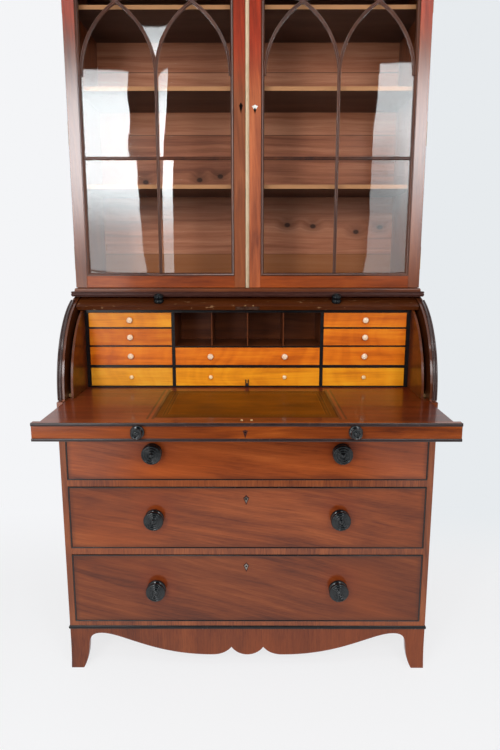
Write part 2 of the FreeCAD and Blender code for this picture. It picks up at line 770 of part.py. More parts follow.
# A long drawer: front, cockbead, box, knobs, and lock with its escutcheon
def long_drawer(number, low, high):
    bottom = f"{low} + drawer_low_gap"
    top = f"{high} - drawer_top_gap"
    front_low, front_top = f"{bottom} + bead_thick", f"{top} - bead_thick"
    node(f"drawer_{number}_front", [wide_board("front_half", "0", "front_thick", front_low, front_top)])
    beads = boards_both("front_half", "drawer_half", "-bead_proud", "front_thick", bottom, top)
    beads.append(wide_board("front_half", "-bead_proud", "front_thick", bottom, front_low))
    beads.append(wide_board("front_half", "-bead_proud", "front_thick", front_top, top))
    node(f"drawer_{number}_beads", beads)
    base_low, base_top = f"{bottom} + box_groove", f"{bottom} + box_groove + box_base"
    box_top = f"{top} - box_drop"
    box = boards_both("box_in", "box_out", "front_thick", "box_rear", bottom, box_top)
    box.append(wide_board("box_in", "box_rear - box_back", "box_rear", base_top, f"{box_top} - box_drop"))
    box.append(wide_board("box_in", "front_thick", "box_rear", base_low, base_top))
    node(f"drawer_{number}_box", box)
    middle_up = f"({low} + {high}) / 2"
    node(f"drawer_{number}_knobs", [knob_at(big_rings, "knob_radius", "knob_len", x, "0", middle_up)
                                    for x in ("-knob_x", "knob_x")])
    case = wide_board("lock_half", "front_thick", "front_thick + lock_deep", f"{box_top} - lock_high", box_top)
    node(f"drawer_{number}_lock", [case, solid(kite(size(high) - size("escutcheon_drop")))])


long_drawer(1, "top_drawer", "top_rail")
long_drawer(2, "mid_drawer", "mid_rail")
long_drawer(3, "low_drawer", "low_rail")


# A small drawer of the nest with its knobs
def small_drawer(label, left, right, low, high, knobs, turning="small_knob", extra=()):
    x_low, x_high = f"{left} + nest_side_gap", f"{right} - nest_side_gap"
    z_low, z_high = f"{low} + nest_low_gap", f"{high} - nest_top_gap"
    face = "nest_setback + nest_face"
    inside = "nest_setback + nest_face + nest_front_thick"
    back = "nest_inside - nest_back_gap"
    base_low, base_top = f"{z_low} + nest_groove", f"{z_low} + nest_groove + nest_base"
    wall_top = f"{z_high} - nest_drop"
    pieces = [board(x_low, x_high, face, inside, z_low, z_high)]
    in_low, in_high = f"{x_low} + nest_wall", f"{x_high} - nest_wall"
    pieces.append(board(x_low, in_low, inside, back, z_low, wall_top))
    pieces.append(board(in_high, x_high, inside, back, z_low, wall_top))
    pieces.append(board(in_low, in_high, f"{back} - nest_wall", back, base_top, wall_top))
    pieces.append(board(in_low, in_high, inside, back, base_low, base_top))
    middle_up = f"({low} + {high}) / 2"
    for x in knobs:
        pieces.append(knob_at(small_rings, f"{turning}_radius", f"{turning}_len", x, face, middle_up))
    node(label, pieces + list(extra))


bank_rows = (("row_top", "cap_low"), ("row_mid", "shelf_mid"), ("row_bank", "shelf_bank"))
for number, (low, high) in enumerate(bank_rows, start=1):
    small_drawer(f"nest_left_{number}", "-bank_out", "-bank_in", low, high, ["-bank_mid"])
    small_drawer(f"nest_right_{number}", "bank_in", "bank_out", low, high, ["bank_mid"])
centre_knobs = ["-centre_knob_x", "centre_knob_x"]
small_drawer("nest_centre", "-post_x", "post_x", "row_bank", "centre_shelf", centre_knobs)
small_drawer("nest_low_left", "-bank_out", "-bank_in", "row_low", "bar_low", ["-bank_mid"], "low_knob")
small_drawer("nest_low_right", "bank_in", "bank_out", "row_low", "bar_low", ["bank_mid"], "low_knob")
catch_face = "nest_setback + nest_face"
catch_low = "row_low + nest_low_gap"
catch = board("-catch_off - catch_wide / 2", "-catch_off + catch_wide / 2", f"{catch_face} - catch_thick",
              catch_face, catch_low, f"{catch_low} + catch_high")
small_drawer("nest_low_centre", "-post_x", "post_x", "row_low", "bar_low", centre_knobs, "low_knob", [catch])


# A glazed door: frame, glass, bars and brass; the meeting strip belongs to the right door
def door(side, sign):
    def leaf(low, high, y_low, y_high, z_low, z_high):
        first, last = span(sign, low, high)
        return board(first, last, y_low, y_high, z_low, z_high)

    inner = "strip_half - strip_off" if sign > 0 else "strip_half + strip_off + meeting_gap"
    frame = [leaf("glass_out", "door_out", "door_front", "door_back", "door_low", "door_top")]
    frame.append(leaf(inner, "glass_in", "door_front", "door_back", "door_low", "door_top"))
    frame.append(leaf("glass_in", "glass_out", "door_front", "door_back", "door_low", "glass_low"))
    frame.append(leaf("glass_in", "glass_out", "door_front", "door_back", "glass_top", "door_top"))
    node(f"door_{side}_frame", frame)
    glass = leaf("glass_in", "glass_out", "bar_back", "bar_back + glass_thick", "glass_low", "glass_top")
    node(f"door_{side}_glass", [glass])
    bar_left, bar_right = "column_mid - bar_wide / 2", "column_mid + bar_wide / 2"
    cross_low, cross_top = "cross_mid - bar_wide / 2", "cross_mid + bar_wide / 2"
    bars = [leaf(bar_left, bar_right, "bar_front", "bar_back", "glass_low", "spring_up + bar_wide")]
    bars.append(leaf("glass_in", "glass_out", "bar_front", "bar_back", cross_low, cross_top))
    for start, heading in (("glass_in", 1), ("column_mid", 1), ("column_mid", -1), ("glass_out", -1)):
        ring = wedge("tracery_radius + bar_wide / 2", "tracery_radius - bar_wide / 2", "bar_deep", "90")
        arc_start = 90 if heading * sign > 0 else 0
        arc_mid = f"{start} + tracery_radius * {heading}"
        centre, _ = span(sign, arc_mid, arc_mid)
        bars.append(place(ring, along_y * turned(arc_start), centre, "bar_back", "spring_up"))
    window_front, window_back = "bar_front - cut_over", "bar_back + cut_over"
    window = leaf("glass_in", "glass_out", window_front, window_back, "glass_low", "glass_top")
    node(f"door_{side}_bars", [common(fuse(bars), window)])
    brass = []
    for height in ("door_low + hinge_inset", "(door_low + door_top) / 2", "door_top - hinge_inset"):
        hinge_low, hinge_top = f"{height} - hinge_half", f"{height} + hinge_half"
        hinge_x, _ = span(sign, "hinge_x", "hinge_x")
        barrel = wedge("hinge_radius", None, "2 * hinge_half", "360")
        place(barrel, upright, hinge_x, "book_front", hinge_low)
        flange = leaf("door_out", "hinge_x", "door_back - hinge_leaf", "door_back", hinge_low, hinge_top)
        brass.append(fuse([barrel, flange]))
    if sign > 0:
        brass.append(board("-strip_half - strip_off", "strip_half - strip_off", "door_front - strip_rise",
                           "door_front + strip_deep", "door_low", "door_top"))
    lock_out, lock_back = "door_lock_in + door_lock_wide", "door_back + door_lock_deep"
    lock_low, lock_top = "book_low + door_lock_up", "book_low + door_lock_up + door_lock_high"
    brass.append(leaf("door_lock_in", lock_out, "door_back", lock_back, lock_low, lock_top))
    node(f"door_{side}_brass", brass)


door("left", -1)
door("right", 1)

doc.recompute()
for thing in doc.Objects:
    if "Invalid" in thing.State or "Error" in thing.State:
        raise RuntimeError(f"{thing.Label} did not compute")
os.makedirs("parts", exist_ok=True)
for piece in nodes:
    if piece.Shape.isNull() or not piece.Shape.isValid():
        raise RuntimeError(f"{piece.Label} has no valid shape")
    piece.Shape.exportStep(f"parts/{piece.Label}.step")
print(len(nodes), "pieces written")
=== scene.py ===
import bmesh
import bpy
import json
import math
import numpy as np
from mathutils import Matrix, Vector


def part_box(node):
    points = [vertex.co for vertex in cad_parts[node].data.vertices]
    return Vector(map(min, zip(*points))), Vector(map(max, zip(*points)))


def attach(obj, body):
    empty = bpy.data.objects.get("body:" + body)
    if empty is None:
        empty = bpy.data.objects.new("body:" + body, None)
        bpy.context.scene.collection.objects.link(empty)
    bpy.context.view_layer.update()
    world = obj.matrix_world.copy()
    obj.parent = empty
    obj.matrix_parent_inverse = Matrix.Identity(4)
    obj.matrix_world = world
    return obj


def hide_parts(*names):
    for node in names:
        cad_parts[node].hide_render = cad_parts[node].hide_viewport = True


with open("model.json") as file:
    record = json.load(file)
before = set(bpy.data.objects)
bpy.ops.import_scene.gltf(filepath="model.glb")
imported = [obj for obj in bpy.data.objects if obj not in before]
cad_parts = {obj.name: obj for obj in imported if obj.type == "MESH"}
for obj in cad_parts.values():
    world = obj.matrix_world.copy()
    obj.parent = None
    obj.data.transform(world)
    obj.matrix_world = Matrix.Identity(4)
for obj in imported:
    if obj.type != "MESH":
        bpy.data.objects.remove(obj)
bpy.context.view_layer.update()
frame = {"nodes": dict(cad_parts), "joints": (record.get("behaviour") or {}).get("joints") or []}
nodes = frame["nodes"]
joints = {joint["name"]: joint for joint in frame["joints"]}
mm = 0.001
print("frame loaded:", len(nodes), "nodes")


# Shading: sockets that add and multiply like numbers

class Val:
    def __init__(self, shade, socket):
        self.shade = shade
        self.socket = socket

    def __add__(self, other):
        return self.shade.maths("ADD", self, other)

    def __radd__(self, other):
        return self.shade.maths("ADD", other, self)

    def __sub__(self, other):
        return self.shade.maths("SUBTRACT", self, other)

    def __rsub__(self, other):
        return self.shade.maths("SUBTRACT", other, self)

    def __mul__(self, other):
        return self.shade.maths("MULTIPLY", self, other)

    def __truediv__(self, other):
        return self.shade.maths("DIVIDE", self, other)

    def __abs__(self):
        return self.shade.maths("ABSOLUTE", self)

    def __gt__(self, other):
        return self.shade.maths("GREATER_THAN", self, other)


class Shade:
    def __init__(self, name, owner=None):
        self.owner = owner or bpy.data.materials.new(name)
        self.owner.use_nodes = True
        self.tree = self.owner.node_tree
        self.tree.nodes.clear()

    # any node: its settings first, then values or links by socket name or number
    def node(self, kind, settings=None, inputs=None, output=0):
        made = self.tree.nodes.new(kind)
        for key, value in (settings or {}).items():
            if key == "stops":
                ramp = made.color_ramp.elements
                while len(ramp) < len(value):
                    ramp.new(0.5)
                for element, (place, colour) in zip(ramp, value):
                    element.position = place
                    element.color = (*colour, 1.0)
            else:
                setattr(made, key, value)
        for key, value in (inputs or {}).items():
            socket = next((s for s in made.inputs if s.identifier == key), None) or made.inputs[key]
            if isinstance(value, Val):
                self.tree.links.new(value.socket, socket)
            else:
                socket.default_value = value
        found = next((s for s in made.outputs if s.identifier == output), None)
        return Val(self, found or made.outputs[output]) if made.outputs else None

    def maths(self, operation, first, second=None):
        inputs = {0: first} if second is None else {0: first, 1: second}
        return self.node("ShaderNodeMath", {"operation": operation}, inputs)

    def clamp(self, value):
        return self.node("ShaderNodeClamp", {}, {"Value": value})

    # smooth 0 to 1 as value goes from low to high
    def fade(self, value, low, high):
        return self.node("ShaderNodeMapRange", {"interpolation_type": "SMOOTHSTEP"},
                         {"Value": value, "From Min": low, "From Max": high})

    # 1 on a line of the given half width about a place, 0 away from it
    def stroke(self, value, place, half):
        return 1.0 - self.fade(abs(value - place), half * 0.6, half * 1.2)

    def place(self):
        where = self.node("ShaderNodeTexCoord", {}, {}, "Object")
        return [self.node("ShaderNodeSeparateXYZ", {}, {"Vector": where}, axis) for axis in "XYZ"]

    def noise(self, x, y, z, detail=3.0, roughness=0.55, distortion=0.0):
        vector = self.node("ShaderNodeCombineXYZ", {}, {"X": x, "Y": y, "Z": z})
        return self.node("ShaderNodeTexNoise", {}, {"Vector": vector, "Scale": 1.0, "Detail": detail,
                                                    "Roughness": roughness, "Distortion": distortion}, "Fac")

    def ramp(self, value, stops):
        return self.node("ShaderNodeValToRGB", {"stops": stops}, {"Fac": value}, "Color")

    def blend(self, factor, first, second, mode="MIX"):
        def rgba(colour):
            return colour if isinstance(colour, Val) else (*colour, 1.0)
        return self.node("ShaderNodeMix", {"data_type": "RGBA", "blend_type": mode},
                         {"Factor_Float": factor, "A_Color": rgba(first), "B_Color": rgba(second)},
                         "Result_Color")

    def tinted(self, colour, tint):
        return self.blend(1.0, colour, tint, "MULTIPLY")

    def bump(self, height, strength, distance):
        return self.node("ShaderNodeBump", {}, {"Height": height, "Strength": strength, "Distance": distance},
                         "Normal")

    def surface(self, **sockets):
        inputs = {key.replace("_", " "): value for key, value in sockets.items()}
        return self.node("ShaderNodeBsdfPrincipled", {}, inputs)

    # one shader where the factor is 0 and another where it is 1
    def mix(self, factor, first, second):
        return self.node("ShaderNodeMixShader", {}, {0: factor, 1: first, 2: second})

    # 1 for the rays that see the background: straight, mirrored or through glass
    def seen(self):
        kinds = ("Is Camera Ray", "Is Glossy Ray", "Is Transmission Ray")
        straight, mirrored, through = (self.node("ShaderNodeLightPath", {}, {}, kind) for kind in kinds)
        return self.clamp(straight + mirrored + through)

    def finish(self, shader, kind="ShaderNodeOutputMaterial"):
        self.node(kind, {}, {"Surface": shader})
        return self.owner

    def dress(self, **sockets):
        return self.finish(self.surface(**sockets))


# Woods: the grain runs along one axis, so that coordinate is squeezed and the others are spread
grainOrder = {"x": (0, 1, 2), "z": (2, 0, 1), "xz": (0, 2, 1)}
mahoganyLook = {
    "tones": ((0.37, (0.070, 0.014, 0.005)), (0.45, (0.150, 0.033, 0.008)), (0.53, (0.225, 0.053, 0.012)),
              (0.64, (0.330, 0.090, 0.022))),
    "ember": (0.330, 0.070, 0.008),
    "pore": (0.030, 0.008, 0.004),
    "roughness": 0.36,
    "specular": 0.20,
    "coat": {"weight": 0.75, "roughness": 0.10, "ior": 1.5},
}


# tone = broad bands + slanting flames + thin lines + pores, each a noise drawn out along the grain
# marks, where given, is a function that paints the finished colour further, and the weight of the coat may be
# a function of the place
def mahogany(name, grain, depth=1.0, slant=0.0, flame=0.42, coat=None, marks=None):
    look = mahoganyLook
    coat = {**look["coat"], **(coat or {})}
    shade = Shade(name)
    point = shade.place()
    along, across, third = (point[i] for i in grainOrder[grain])
    drift = shade.noise(along * 1.7, across * 3.1, third * 3.1, 2.0) - 0.5
    tilted = across + along * slant + drift * 0.05
    broad = shade.noise(along * 2.2, tilted * 13.0, third * 11.0, 2.0)
    flames = shade.noise(along * 5.0, tilted * 44.0, third * 30.0, 3.0, 0.55, 0.5)
    thin = shade.noise(along * 8.0, tilted * 230.0, third * 170.0, 2.0)
    fine = shade.noise(along * 40.0, across * 900.0, third * 900.0, 2.0)
    tone = broad * 0.32 + flames * flame + thin * 0.18 + fine * (0.50 - flame)
    wood = shade.ramp(tone, look["tones"])
    cloud = shade.noise(point[0] * 2.6, point[1] * 2.6, point[2] * 3.4, 2.0)
    wood = shade.blend(shade.fade(cloud, 0.45, 0.70) * 0.40, wood, look["ember"])
    pores = shade.fade(fine, 0.58, 0.70)
    wood = shade.blend(pores * 0.22, wood, look["pore"])
    if depth != 1.0:
        wood = shade.tinted(wood, depth if isinstance(depth, tuple) else (depth,) * 3)
    if marks:
        wood = marks(shade, point, wood)
    roughness = look["roughness"] + pores * 0.10 + (cloud - 0.5) * 0.10
    normal = shade.bump(thin * 0.4 - pores, 0.10, 0.0004)
    weight = coat["weight"](shade, point) if callable(coat["weight"]) else coat["weight"]
    return shade.dress(Base_Color=wood, Roughness=roughness, Normal=normal, Coat_Weight=weight,
                       Coat_Roughness=coat["roughness"], Coat_IOR=coat["ior"],
                       Specular_IOR_Level=look["specular"])


# old wax glows red above each knob of a drawer, and the front darkens towards its edges
def waxedRound(knobX, knobZ, low, high):
    def marks(shade, point, wood):
        x, y, z = point
        side, rise = abs(x) - knobX, z - (knobZ + 0.012)
        away = shade.maths("SQRT", side * side + rise * rise)
        wood = shade.blend((1.0 - shade.fade(away, 0.018, 0.080)) * 0.30, wood, (0.230, 0.026, 0.001))
        edge = shade.maths("MINIMUM", shade.maths("MINIMUM", z - low.z, high.z - z), high.x - abs(x))
        wood = shade.blend((1.0 - shade.fade(edge, 0.000, 0.014)) * 0.45, wood, (0.060, 0.016, 0.008))
        wear = shade.noise(x * 30.0, 0.0, z * 190.0, 3.0)
        return shade.blend(shade.fade(wear, 0.64, 0.74) * 0.30, wood, (0.045, 0.014, 0.008))
    return marks


# uprights of the doors glow redder above a height, fully so above a second one
def redAbove(start, end, tint):
    def marks(shade, point, wood):
        return shade.blend(shade.fade(point[2], start, end), wood, shade.tinted(wood, tint))
    return marks


# polish worn thin towards the foot of the door
def wornFoot(shade, point):
    return 0.40 + shade.fade(point[2], 1.08, 1.30) * 0.60


# dark stringing round the leather and a second line outside it, a red band between them, a painted
# reflection that pales and blues the wood towards the left, and a few scratches
def strungRound(low, high, frameOut, frameFront, frameBack):
    def marks(shade, point, wood):
        x, y, z = point
        middle, reachY = (low.y + high.y) / 2, (high.y - low.y) / 2
        sideIn, sideOut = (shade.stroke(abs(x), place, half)
                           for place, half in ((high.x + 0.0026, 0.0040), (frameOut, 0.0030)))
        within = abs(y - (frameFront + frameBack) / 2)
        reach = 1.0 - shade.fade(within, (frameBack - frameFront) / 2, (frameBack - frameFront) / 2 + 0.0015)
        between = 1.0 - shade.fade(abs(x), high.x, high.x + 0.002)
        ends = shade.stroke(abs(y - middle), reachY + 0.0012, 0.0014) * between
        line = shade.clamp(sideIn * reach + sideOut * reach + ends)
        # painted reflection: paler, bluer wood on the left, redder and darker on the right
        paintedReflection = shade.blend(shade.fade(x, -0.35, 0.30), (1.26, 1.28, 2.00), (0.86, 0.66, 0.46))
        wood = shade.tinted(wood, paintedReflection)
        band = shade.fade(abs(x), high.x + 0.004, high.x + 0.006)
        band = band * (1.0 - shade.fade(abs(x), frameOut - 0.003, frameOut - 0.001)) * reach
        wood = shade.blend(band * 0.45, wood, (0.210, 0.040, 0.014))
        wood = shade.blend(line * 0.95, wood, (0.012, 0.004, 0.003))
        scratch = shade.noise(x * 35.0, y * 420.0, 0.3, 2.0)
        return shade.blend(shade.fade(scratch, 0.66, 0.74) * 0.35, wood, (0.420, 0.150, 0.060))
    return marks


# chips and rubbed spots along the leading edge
def chippedEdge(shade, point, wood):
    x, y, z = point
    spot = shade.noise(x * 58.0, y * 90.0, z * 90.0, 3.0)
    return shade.blend(shade.fade(spot, 0.655, 0.70) * 0.75, wood, (0.340, 0.190, 0.090))


# painted shade: the inner faces of the arched sides, above the slide, are darker and browner than their edges
def shadedInside(face, above):
    def marks(shade, point, wood):
        x, y, z = point
        inside = 1.0 - shade.fade(abs(x), face - 0.0020, face - 0.0008)
        inside = inside * shade.fade(z, above, above + 0.004)
        return shade.blend(inside * 0.80, wood, (0.060, 0.016, 0.006))
    return marks


# black stain over wood: a brown ghost of grain, rubbed paler in soft patches
def ebonised(name, brown=0.0, rubbed=0.10, coat=0.8, coatRoughness=0.06, specular=0.2):
    shade = Shade(name)
    x, y, z = shade.place()
    rub = shade.noise(x * 60.0, y * 60.0, z * 60.0)
    grain = shade.noise(x * 40.0, y * 260.0, z * 260.0, 2.0)
    black = shade.blend(shade.fade(grain, 0.3, 0.7) * 0.7,
                        (0.007 + 0.045 * brown, 0.006 + 0.011 * brown, 0.007 + 0.005 * brown),
                        (0.018 + 0.065 * brown, 0.015 + 0.015 * brown, 0.015 + 0.007 * brown))
    worn = shade.blend(shade.fade(rub, 0.56, 0.72) * rubbed, black, (0.060 + 0.05 * brown, 0.030, 0.022))
    return shade.dress(Base_Color=worn, Roughness=0.26 + (rub - 0.5) * 0.08,
                       Normal=shade.bump(grain, 0.02, 0.0002), Coat_Weight=coat,
                       Coat_Roughness=coatRoughness, Specular_IOR_Level=specular)


# fine straight-grained pale wood with a silky cross figure
def satinwood(name, tones, tint=(1.0, 1.0, 1.0)):
    shade = Shade(name)
    point = shade.place()
    along, across, third = (point[i] for i in grainOrder["xz"])
    drift = shade.noise(along * 2.0, across * 6.0, third * 6.0, 2.0) - 0.5
    streak = shade.noise(along * 3.5, (across + third * 0.5 + drift * 0.03) * 80.0, third * 60.0, 4.0, 0.6)
    silk = shade.noise(along * 34.0 + drift * 6.0, across * 5.0, third * 18.0, 2.0)
    fine = shade.noise(along * 40.0, across * 900.0, third * 900.0, 2.0)
    cloud = shade.noise(point[0] * 7.0, point[1] * 5.0, point[2] * 19.0, 2.0)
    tone = streak * 0.42 + silk * 0.20 + fine * 0.12 + cloud * 0.26
    wood = shade.tinted(shade.ramp(tone, tones), tint)
    return shade.dress(Base_Color=wood, Roughness=0.40 + (fine - 0.5) * 0.12, Coat_Weight=0.40,
                       Coat_Roughness=0.30, Specular_IOR_Level=0.1, Normal=shade.bump(fine, 0.05, 0.0002))


# aged softwood: each board (by height) has its own tint, rings run along it and bend round its knots; under
# gives the heights of shelves, with painted shadow below them, and then the lowest board is redder and the
# top is darkened by painted shade under the top shelf
def oldPine(name, tones, firstSeam=0.0, boardHigh=9.0, knots=(), paleFront=None, polish=0.0, under=()):
    shade = Shade(name)
    x, y, z = shade.place()
    count = (z - firstSeam) / boardHigh
    number = shade.maths("FLOOR", count)
    tint = shade.node("ShaderNodeTexWhiteNoise", {"noise_dimensions": "1D"}, {"W": number + 3.7}, "Value")
    shift = tint * 7.0
    drift = shade.noise(x * 1.6 + shift, y * 2.0, z * 6.0, 2.0) - 0.5
    nearest = 1.0
    for knotX, knotZ in knots:
        side, rise = (x - knotX) * 0.75, z - knotZ
        away = shade.maths("SQRT", side * side + rise * rise)
        nearest = shade.maths("MINIMUM", away, nearest)
    halo = 1.0 - shade.fade(nearest, 0.004, 0.036) if knots else 0.0
    rings = shade.noise(x * 1.9 + shift, y * 14.0, (z + drift * 0.05 + halo * 0.016) * 62.0, 4.0, 0.6)
    fine = shade.noise(x * 22.0, y * 400.0, z * 420.0, 2.0)
    wood = shade.ramp(rings * 0.50 + fine * 0.12 + tint * 0.14 + 0.12, tones)
    if knots:
        wood = shade.blend(halo * 0.45, wood, (0.105, 0.032, 0.014))
        wood = shade.blend((1.0 - shade.fade(nearest, 0.005, 0.009)) * 0.85, wood, (0.030, 0.009, 0.005))
    apart = shade.maths("FRACT", count + 0.5) - 0.5
    wood = shade.blend(shade.stroke(apart, 0.0, 0.0011 / boardHigh) * 0.8, wood, (0.020, 0.008, 0.005))
    # painted shadow on the back below each shelf
    for shelf in under:
        paintedShadow = shade.fade(z, shelf - 0.12, shelf) * (1.0 - (z > shelf))
        wood = shade.blend(paintedShadow * 0.45, wood, (0.030, 0.014, 0.010))
    if under:
        wood = shade.blend((1.0 - (z > firstSeam)) * 0.75, wood, (0.380, 0.115, 0.022))
        # painted shade on the back below the top shelf
        wood = shade.blend(shade.fade(z, 1.69, 1.79) * 0.40, wood, (0.050, 0.020, 0.014))
    if paleFront is not None:
        nose = 1.0 - shade.fade(y, paleFront, paleFront + 0.003)
        wood = shade.blend(nose * 0.9, wood, shade.blend(rings, (0.47, 0.200, 0.085), (0.68, 0.320, 0.140)))
    return shade.dress(Base_Color=wood, Roughness=0.50 + (fine - 0.5) * 0.2, Coat_Weight=polish,
                       Coat_Roughness=0.2, Specular_IOR_Level=0.25,
                       Normal=shade.bump(fine + rings * 0.5, 0.10, 0.0004))


# worn metal: duller and browner in patches, brighter where it is rubbed
def agedMetal(name, bright, dark, roughness=0.30):
    shade = Shade(name)
    x, y, z = shade.place()
    patch = shade.noise(x * 70.0, y * 70.0, z * 24.0, 4.0, 0.65)
    scratch = shade.noise(x * 900.0, y * 900.0, z * 30.0, 2.0)
    metal = shade.blend(shade.fade(patch, 0.40, 0.62), dark, bright)
    return shade.dress(Base_Color=metal, Metallic=1.0, Roughness=roughness + (patch - 0.5) * 0.25,
                       Normal=shade.bump(scratch, 0.06, 0.0002))


# the inset writing surface: hide grain, a faded middle, a blind line and gilt lines worked round the edge
def tooledLeather(name, low, high):
    shade = Shade(name)
    x, y, z = shade.place()
    edgeX = (high.x - low.x) / 2 - abs(x - (high.x + low.x) / 2)
    edgeY = (high.y - low.y) / 2 - abs(y - (high.y + low.y) / 2)
    edge = shade.maths("MINIMUM", edgeX, edgeY)
    hide = shade.noise(x * 380.0, y * 380.0, 1.0, 3.0, 0.6)
    cloud = shade.noise(x * 6.0, y * 9.0, 2.0)
    rub = shade.noise(x * 12.0, y * 46.0, 4.0)
    leather = shade.ramp(cloud * 0.50 + hide * 0.22 + rub * 0.28, (
        (0.36, (0.095, 0.025, 0.0006)), (0.50, (0.175, 0.044, 0.0006)), (0.64, (0.260, 0.070, 0.0012))))
    border = 1.0 - shade.fade(edge, 0.014, 0.030)
    leather = shade.blend(border * 0.40, leather, (0.060, 0.020, 0.002))
    dots = shade.fade(shade.noise(x * 210.0, y * 210.0, 9.0, 1.0), 0.40, 0.56)
    outerLine, innerLine = shade.stroke(edge, 0.0150, 0.0011), shade.stroke(edge, 0.0290, 0.0010)
    flower = shade.stroke(edge, 0.0220, 0.0040) * dots
    gilt = shade.clamp((outerLine + innerLine) * (0.45 + dots * 0.45) + flower * 0.55)
    blind = shade.clamp(shade.stroke(edge, 0.0185, 0.0012) + shade.stroke(edge, 0.0255, 0.0012))
    dark = 1.0 - shade.fade(edge, 0.0020, 0.0045)
    leather = shade.blend(shade.clamp(blind * 0.7 + dark * 0.8), leather, (0.016, 0.008, 0.003))
    leather = shade.blend(gilt * 0.22, leather, (0.30, 0.13, 0.012))
    return shade.dress(Base_Color=leather, Roughness=0.42 + (hide - 0.5) * 0.25 - gilt * 0.1,
                       Normal=shade.bump(hide * 0.5 - blind * 1.5, 0.22, 0.0005), Specular_IOR_Level=0.10)


# thin crown glass: clear, gently waved, and a mirror by 0.045 + 0.955 * (1 - cos)^5; each pane leans by its
# own small slope, as warp(shade, x, z) says in metres of height, so it catches the lamps a little differently
def oldGlass(name, warp):
    shade = Shade(name)
    x, y, z = shade.place()
    wave = shade.noise(x * 5.0, 0.0, z * 3.0, 2.0) * 0.0007
    wave = wave + shade.noise(x * 22.0, 4.0, z * 9.0, 1.0) * 0.00006
    normal = shade.bump(wave + warp(shade, x, z), 1.0, 1.0)
    clear = shade.node("ShaderNodeBsdfTransparent", {}, {"Color": (0.965, 0.978, 0.970, 1.0)})
    gloss = shade.node("ShaderNodeBsdfAnisotropic", {}, {"Color": (1.0, 1.0, 1.0, 1.0), "Roughness": 0.02,
                                                         "Normal": normal})
    away = shade.node("ShaderNodeLayerWeight", {}, {"Blend": 0.5, "Normal": normal}, "Facing")
    mirror = shade.maths("POWER", away, 5.0) * 0.955 + 0.045
    dust = shade.fade(shade.noise(x * 420.0, 0.0, z * 420.0, 1.0), 0.66, 0.80) * 0.012
    return shade.finish(shade.mix(shade.clamp(mirror + dust), clear, gloss))


# left door: slope * x by pane, more below the bar, a drawn-in edge beside the middle bar,
# depth * exp(-x / 33 mm), and a pane tilted on its own where |x| < radius - sqrt(radius^2 - rise^2)
def leftWarp(shade, x, z):
    upper = shade.fade(z, glassCross - 0.003, glassCross + 0.003)
    climb = shade.clamp((z - glassLow.z) / (glassCross - glassLow.z))
    lean = 0.026 - climb * 0.015 - upper * 0.007
    second = x > glassMiddle
    inside = shade.maths("MAXIMUM", x - glassMiddle, 0.0)
    depth = 0.0064 + shade.fade(z, glassCross - 0.1, glassCross) * 0.001
    depth = depth - upper * (0.0048 - shade.fade(z, glassCross, glassCross + 0.25) * 0.0024)
    drawnIn = shade.maths("EXPONENT", inside * -30.0) * second * depth
    plain = lean * (x - glassMiddle) * (1.0 - second) - drawnIn + second * upper * (z - glassCross) * 0.0065
    rise = shade.maths("MAXIMUM", z - archSpring, 0.0)
    between = archRadius - shade.maths("SQRT", archRadius * archRadius - rise * rise) > abs(x - glassMiddle)
    tilted = (x - glassMiddle) * 0.10 + rise * 0.055
    return plain * (1.0 - between) + tilted * between


# right door: one slow twist, slope rising with height
def rightWarp(shade, x, z):
    lean = (z - glassLow.z) * 0.0286 - 0.0077
    return lean * (x + glassMiddle)


# turned bone: creamy, with faint brown lines
def polishedBone(name, tones):
    shade = Shade(name)
    x, y, z = shade.place()
    line = shade.noise(x * 500.0, y * 120.0, z * 900.0, 2.0)
    stain = shade.noise(x * 90.0, y * 90.0, z * 90.0, 2.0)
    bone = shade.ramp(line * 0.4 + stain * 0.6, tones)
    return shade.dress(Base_Color=bone, Roughness=0.32, Coat_Weight=0.3, Coat_Roughness=0.15,
                       Normal=shade.bump(line, 0.05, 0.0002))


# blackened iron with a little rust in the hollows
def blackIron(name):
    shade = Shade(name)
    x, y, z = shade.place()
    scale = shade.noise(x * 150.0, y * 150.0, z * 150.0, 4.0, 0.65)
    iron = shade.blend(shade.fade(scale, 0.52, 0.66), (0.030, 0.029, 0.030), (0.070, 0.040, 0.026))
    return shade.dress(Base_Color=iron, Metallic=0.75, Roughness=0.45 + (scale - 0.5) * 0.3,
                       Normal=shade.bump(scale, 0.2, 0.0004))


# used for cloth, a dark kite, and painted shade for the dark inside a hole: matte, fading out between two
# distances from the middle where they are given
def matteDark(name, tone, fadeFrom=None, fadeTo=None):
    shade = Shade(name)
    dark = shade.surface(Base_Color=(tone, tone, tone, 1.0), Roughness=0.95, Specular_IOR_Level=0.0)
    if fadeFrom is None:
        return shade.finish(dark)
    away = shade.fade(abs(shade.place()[0]), fadeFrom, fadeTo)
    gone = shade.node("ShaderNodeBsdfTransparent")
    return shade.finish(shade.mix(away, dark, gone))


# Places in the frame and tones of the woods, for the finishes
backLow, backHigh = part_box("bookcase_back")
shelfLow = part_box("shelves")[0]
leatherLow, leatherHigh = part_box("slide_leather")
glassLow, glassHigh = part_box("door_left_glass")
barsLow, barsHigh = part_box("door_left_bars")
barCross, archMore, archClear = 311.5 * mm, 14.75 * mm, 15.5 * mm
glassMiddle, glassCross = (glassLow.x + glassHigh.x) / 2, glassLow.z + barCross
archRadius = (barsHigh.x - barsLow.x) / 2 + archMore
archSpring = glassHigh.z - archClear - archRadius
meetingRed = redAbove(1.56, 1.74, (1.50, 0.52, 0.22))
brightRed = redAbove(1.56, 1.74, (0.98, 0.34, 0.15))
outerRed = redAbove(1.66, 1.82, (2.00, 0.90, 1.00))
sideLow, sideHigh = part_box("side_right")
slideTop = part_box("slide_board")[1].z
goldTones = ((0.38, (0.620, 0.180, 0.005)), (0.50, (0.830, 0.290, 0.008)), (0.62, (0.900, 0.400, 0.018)))
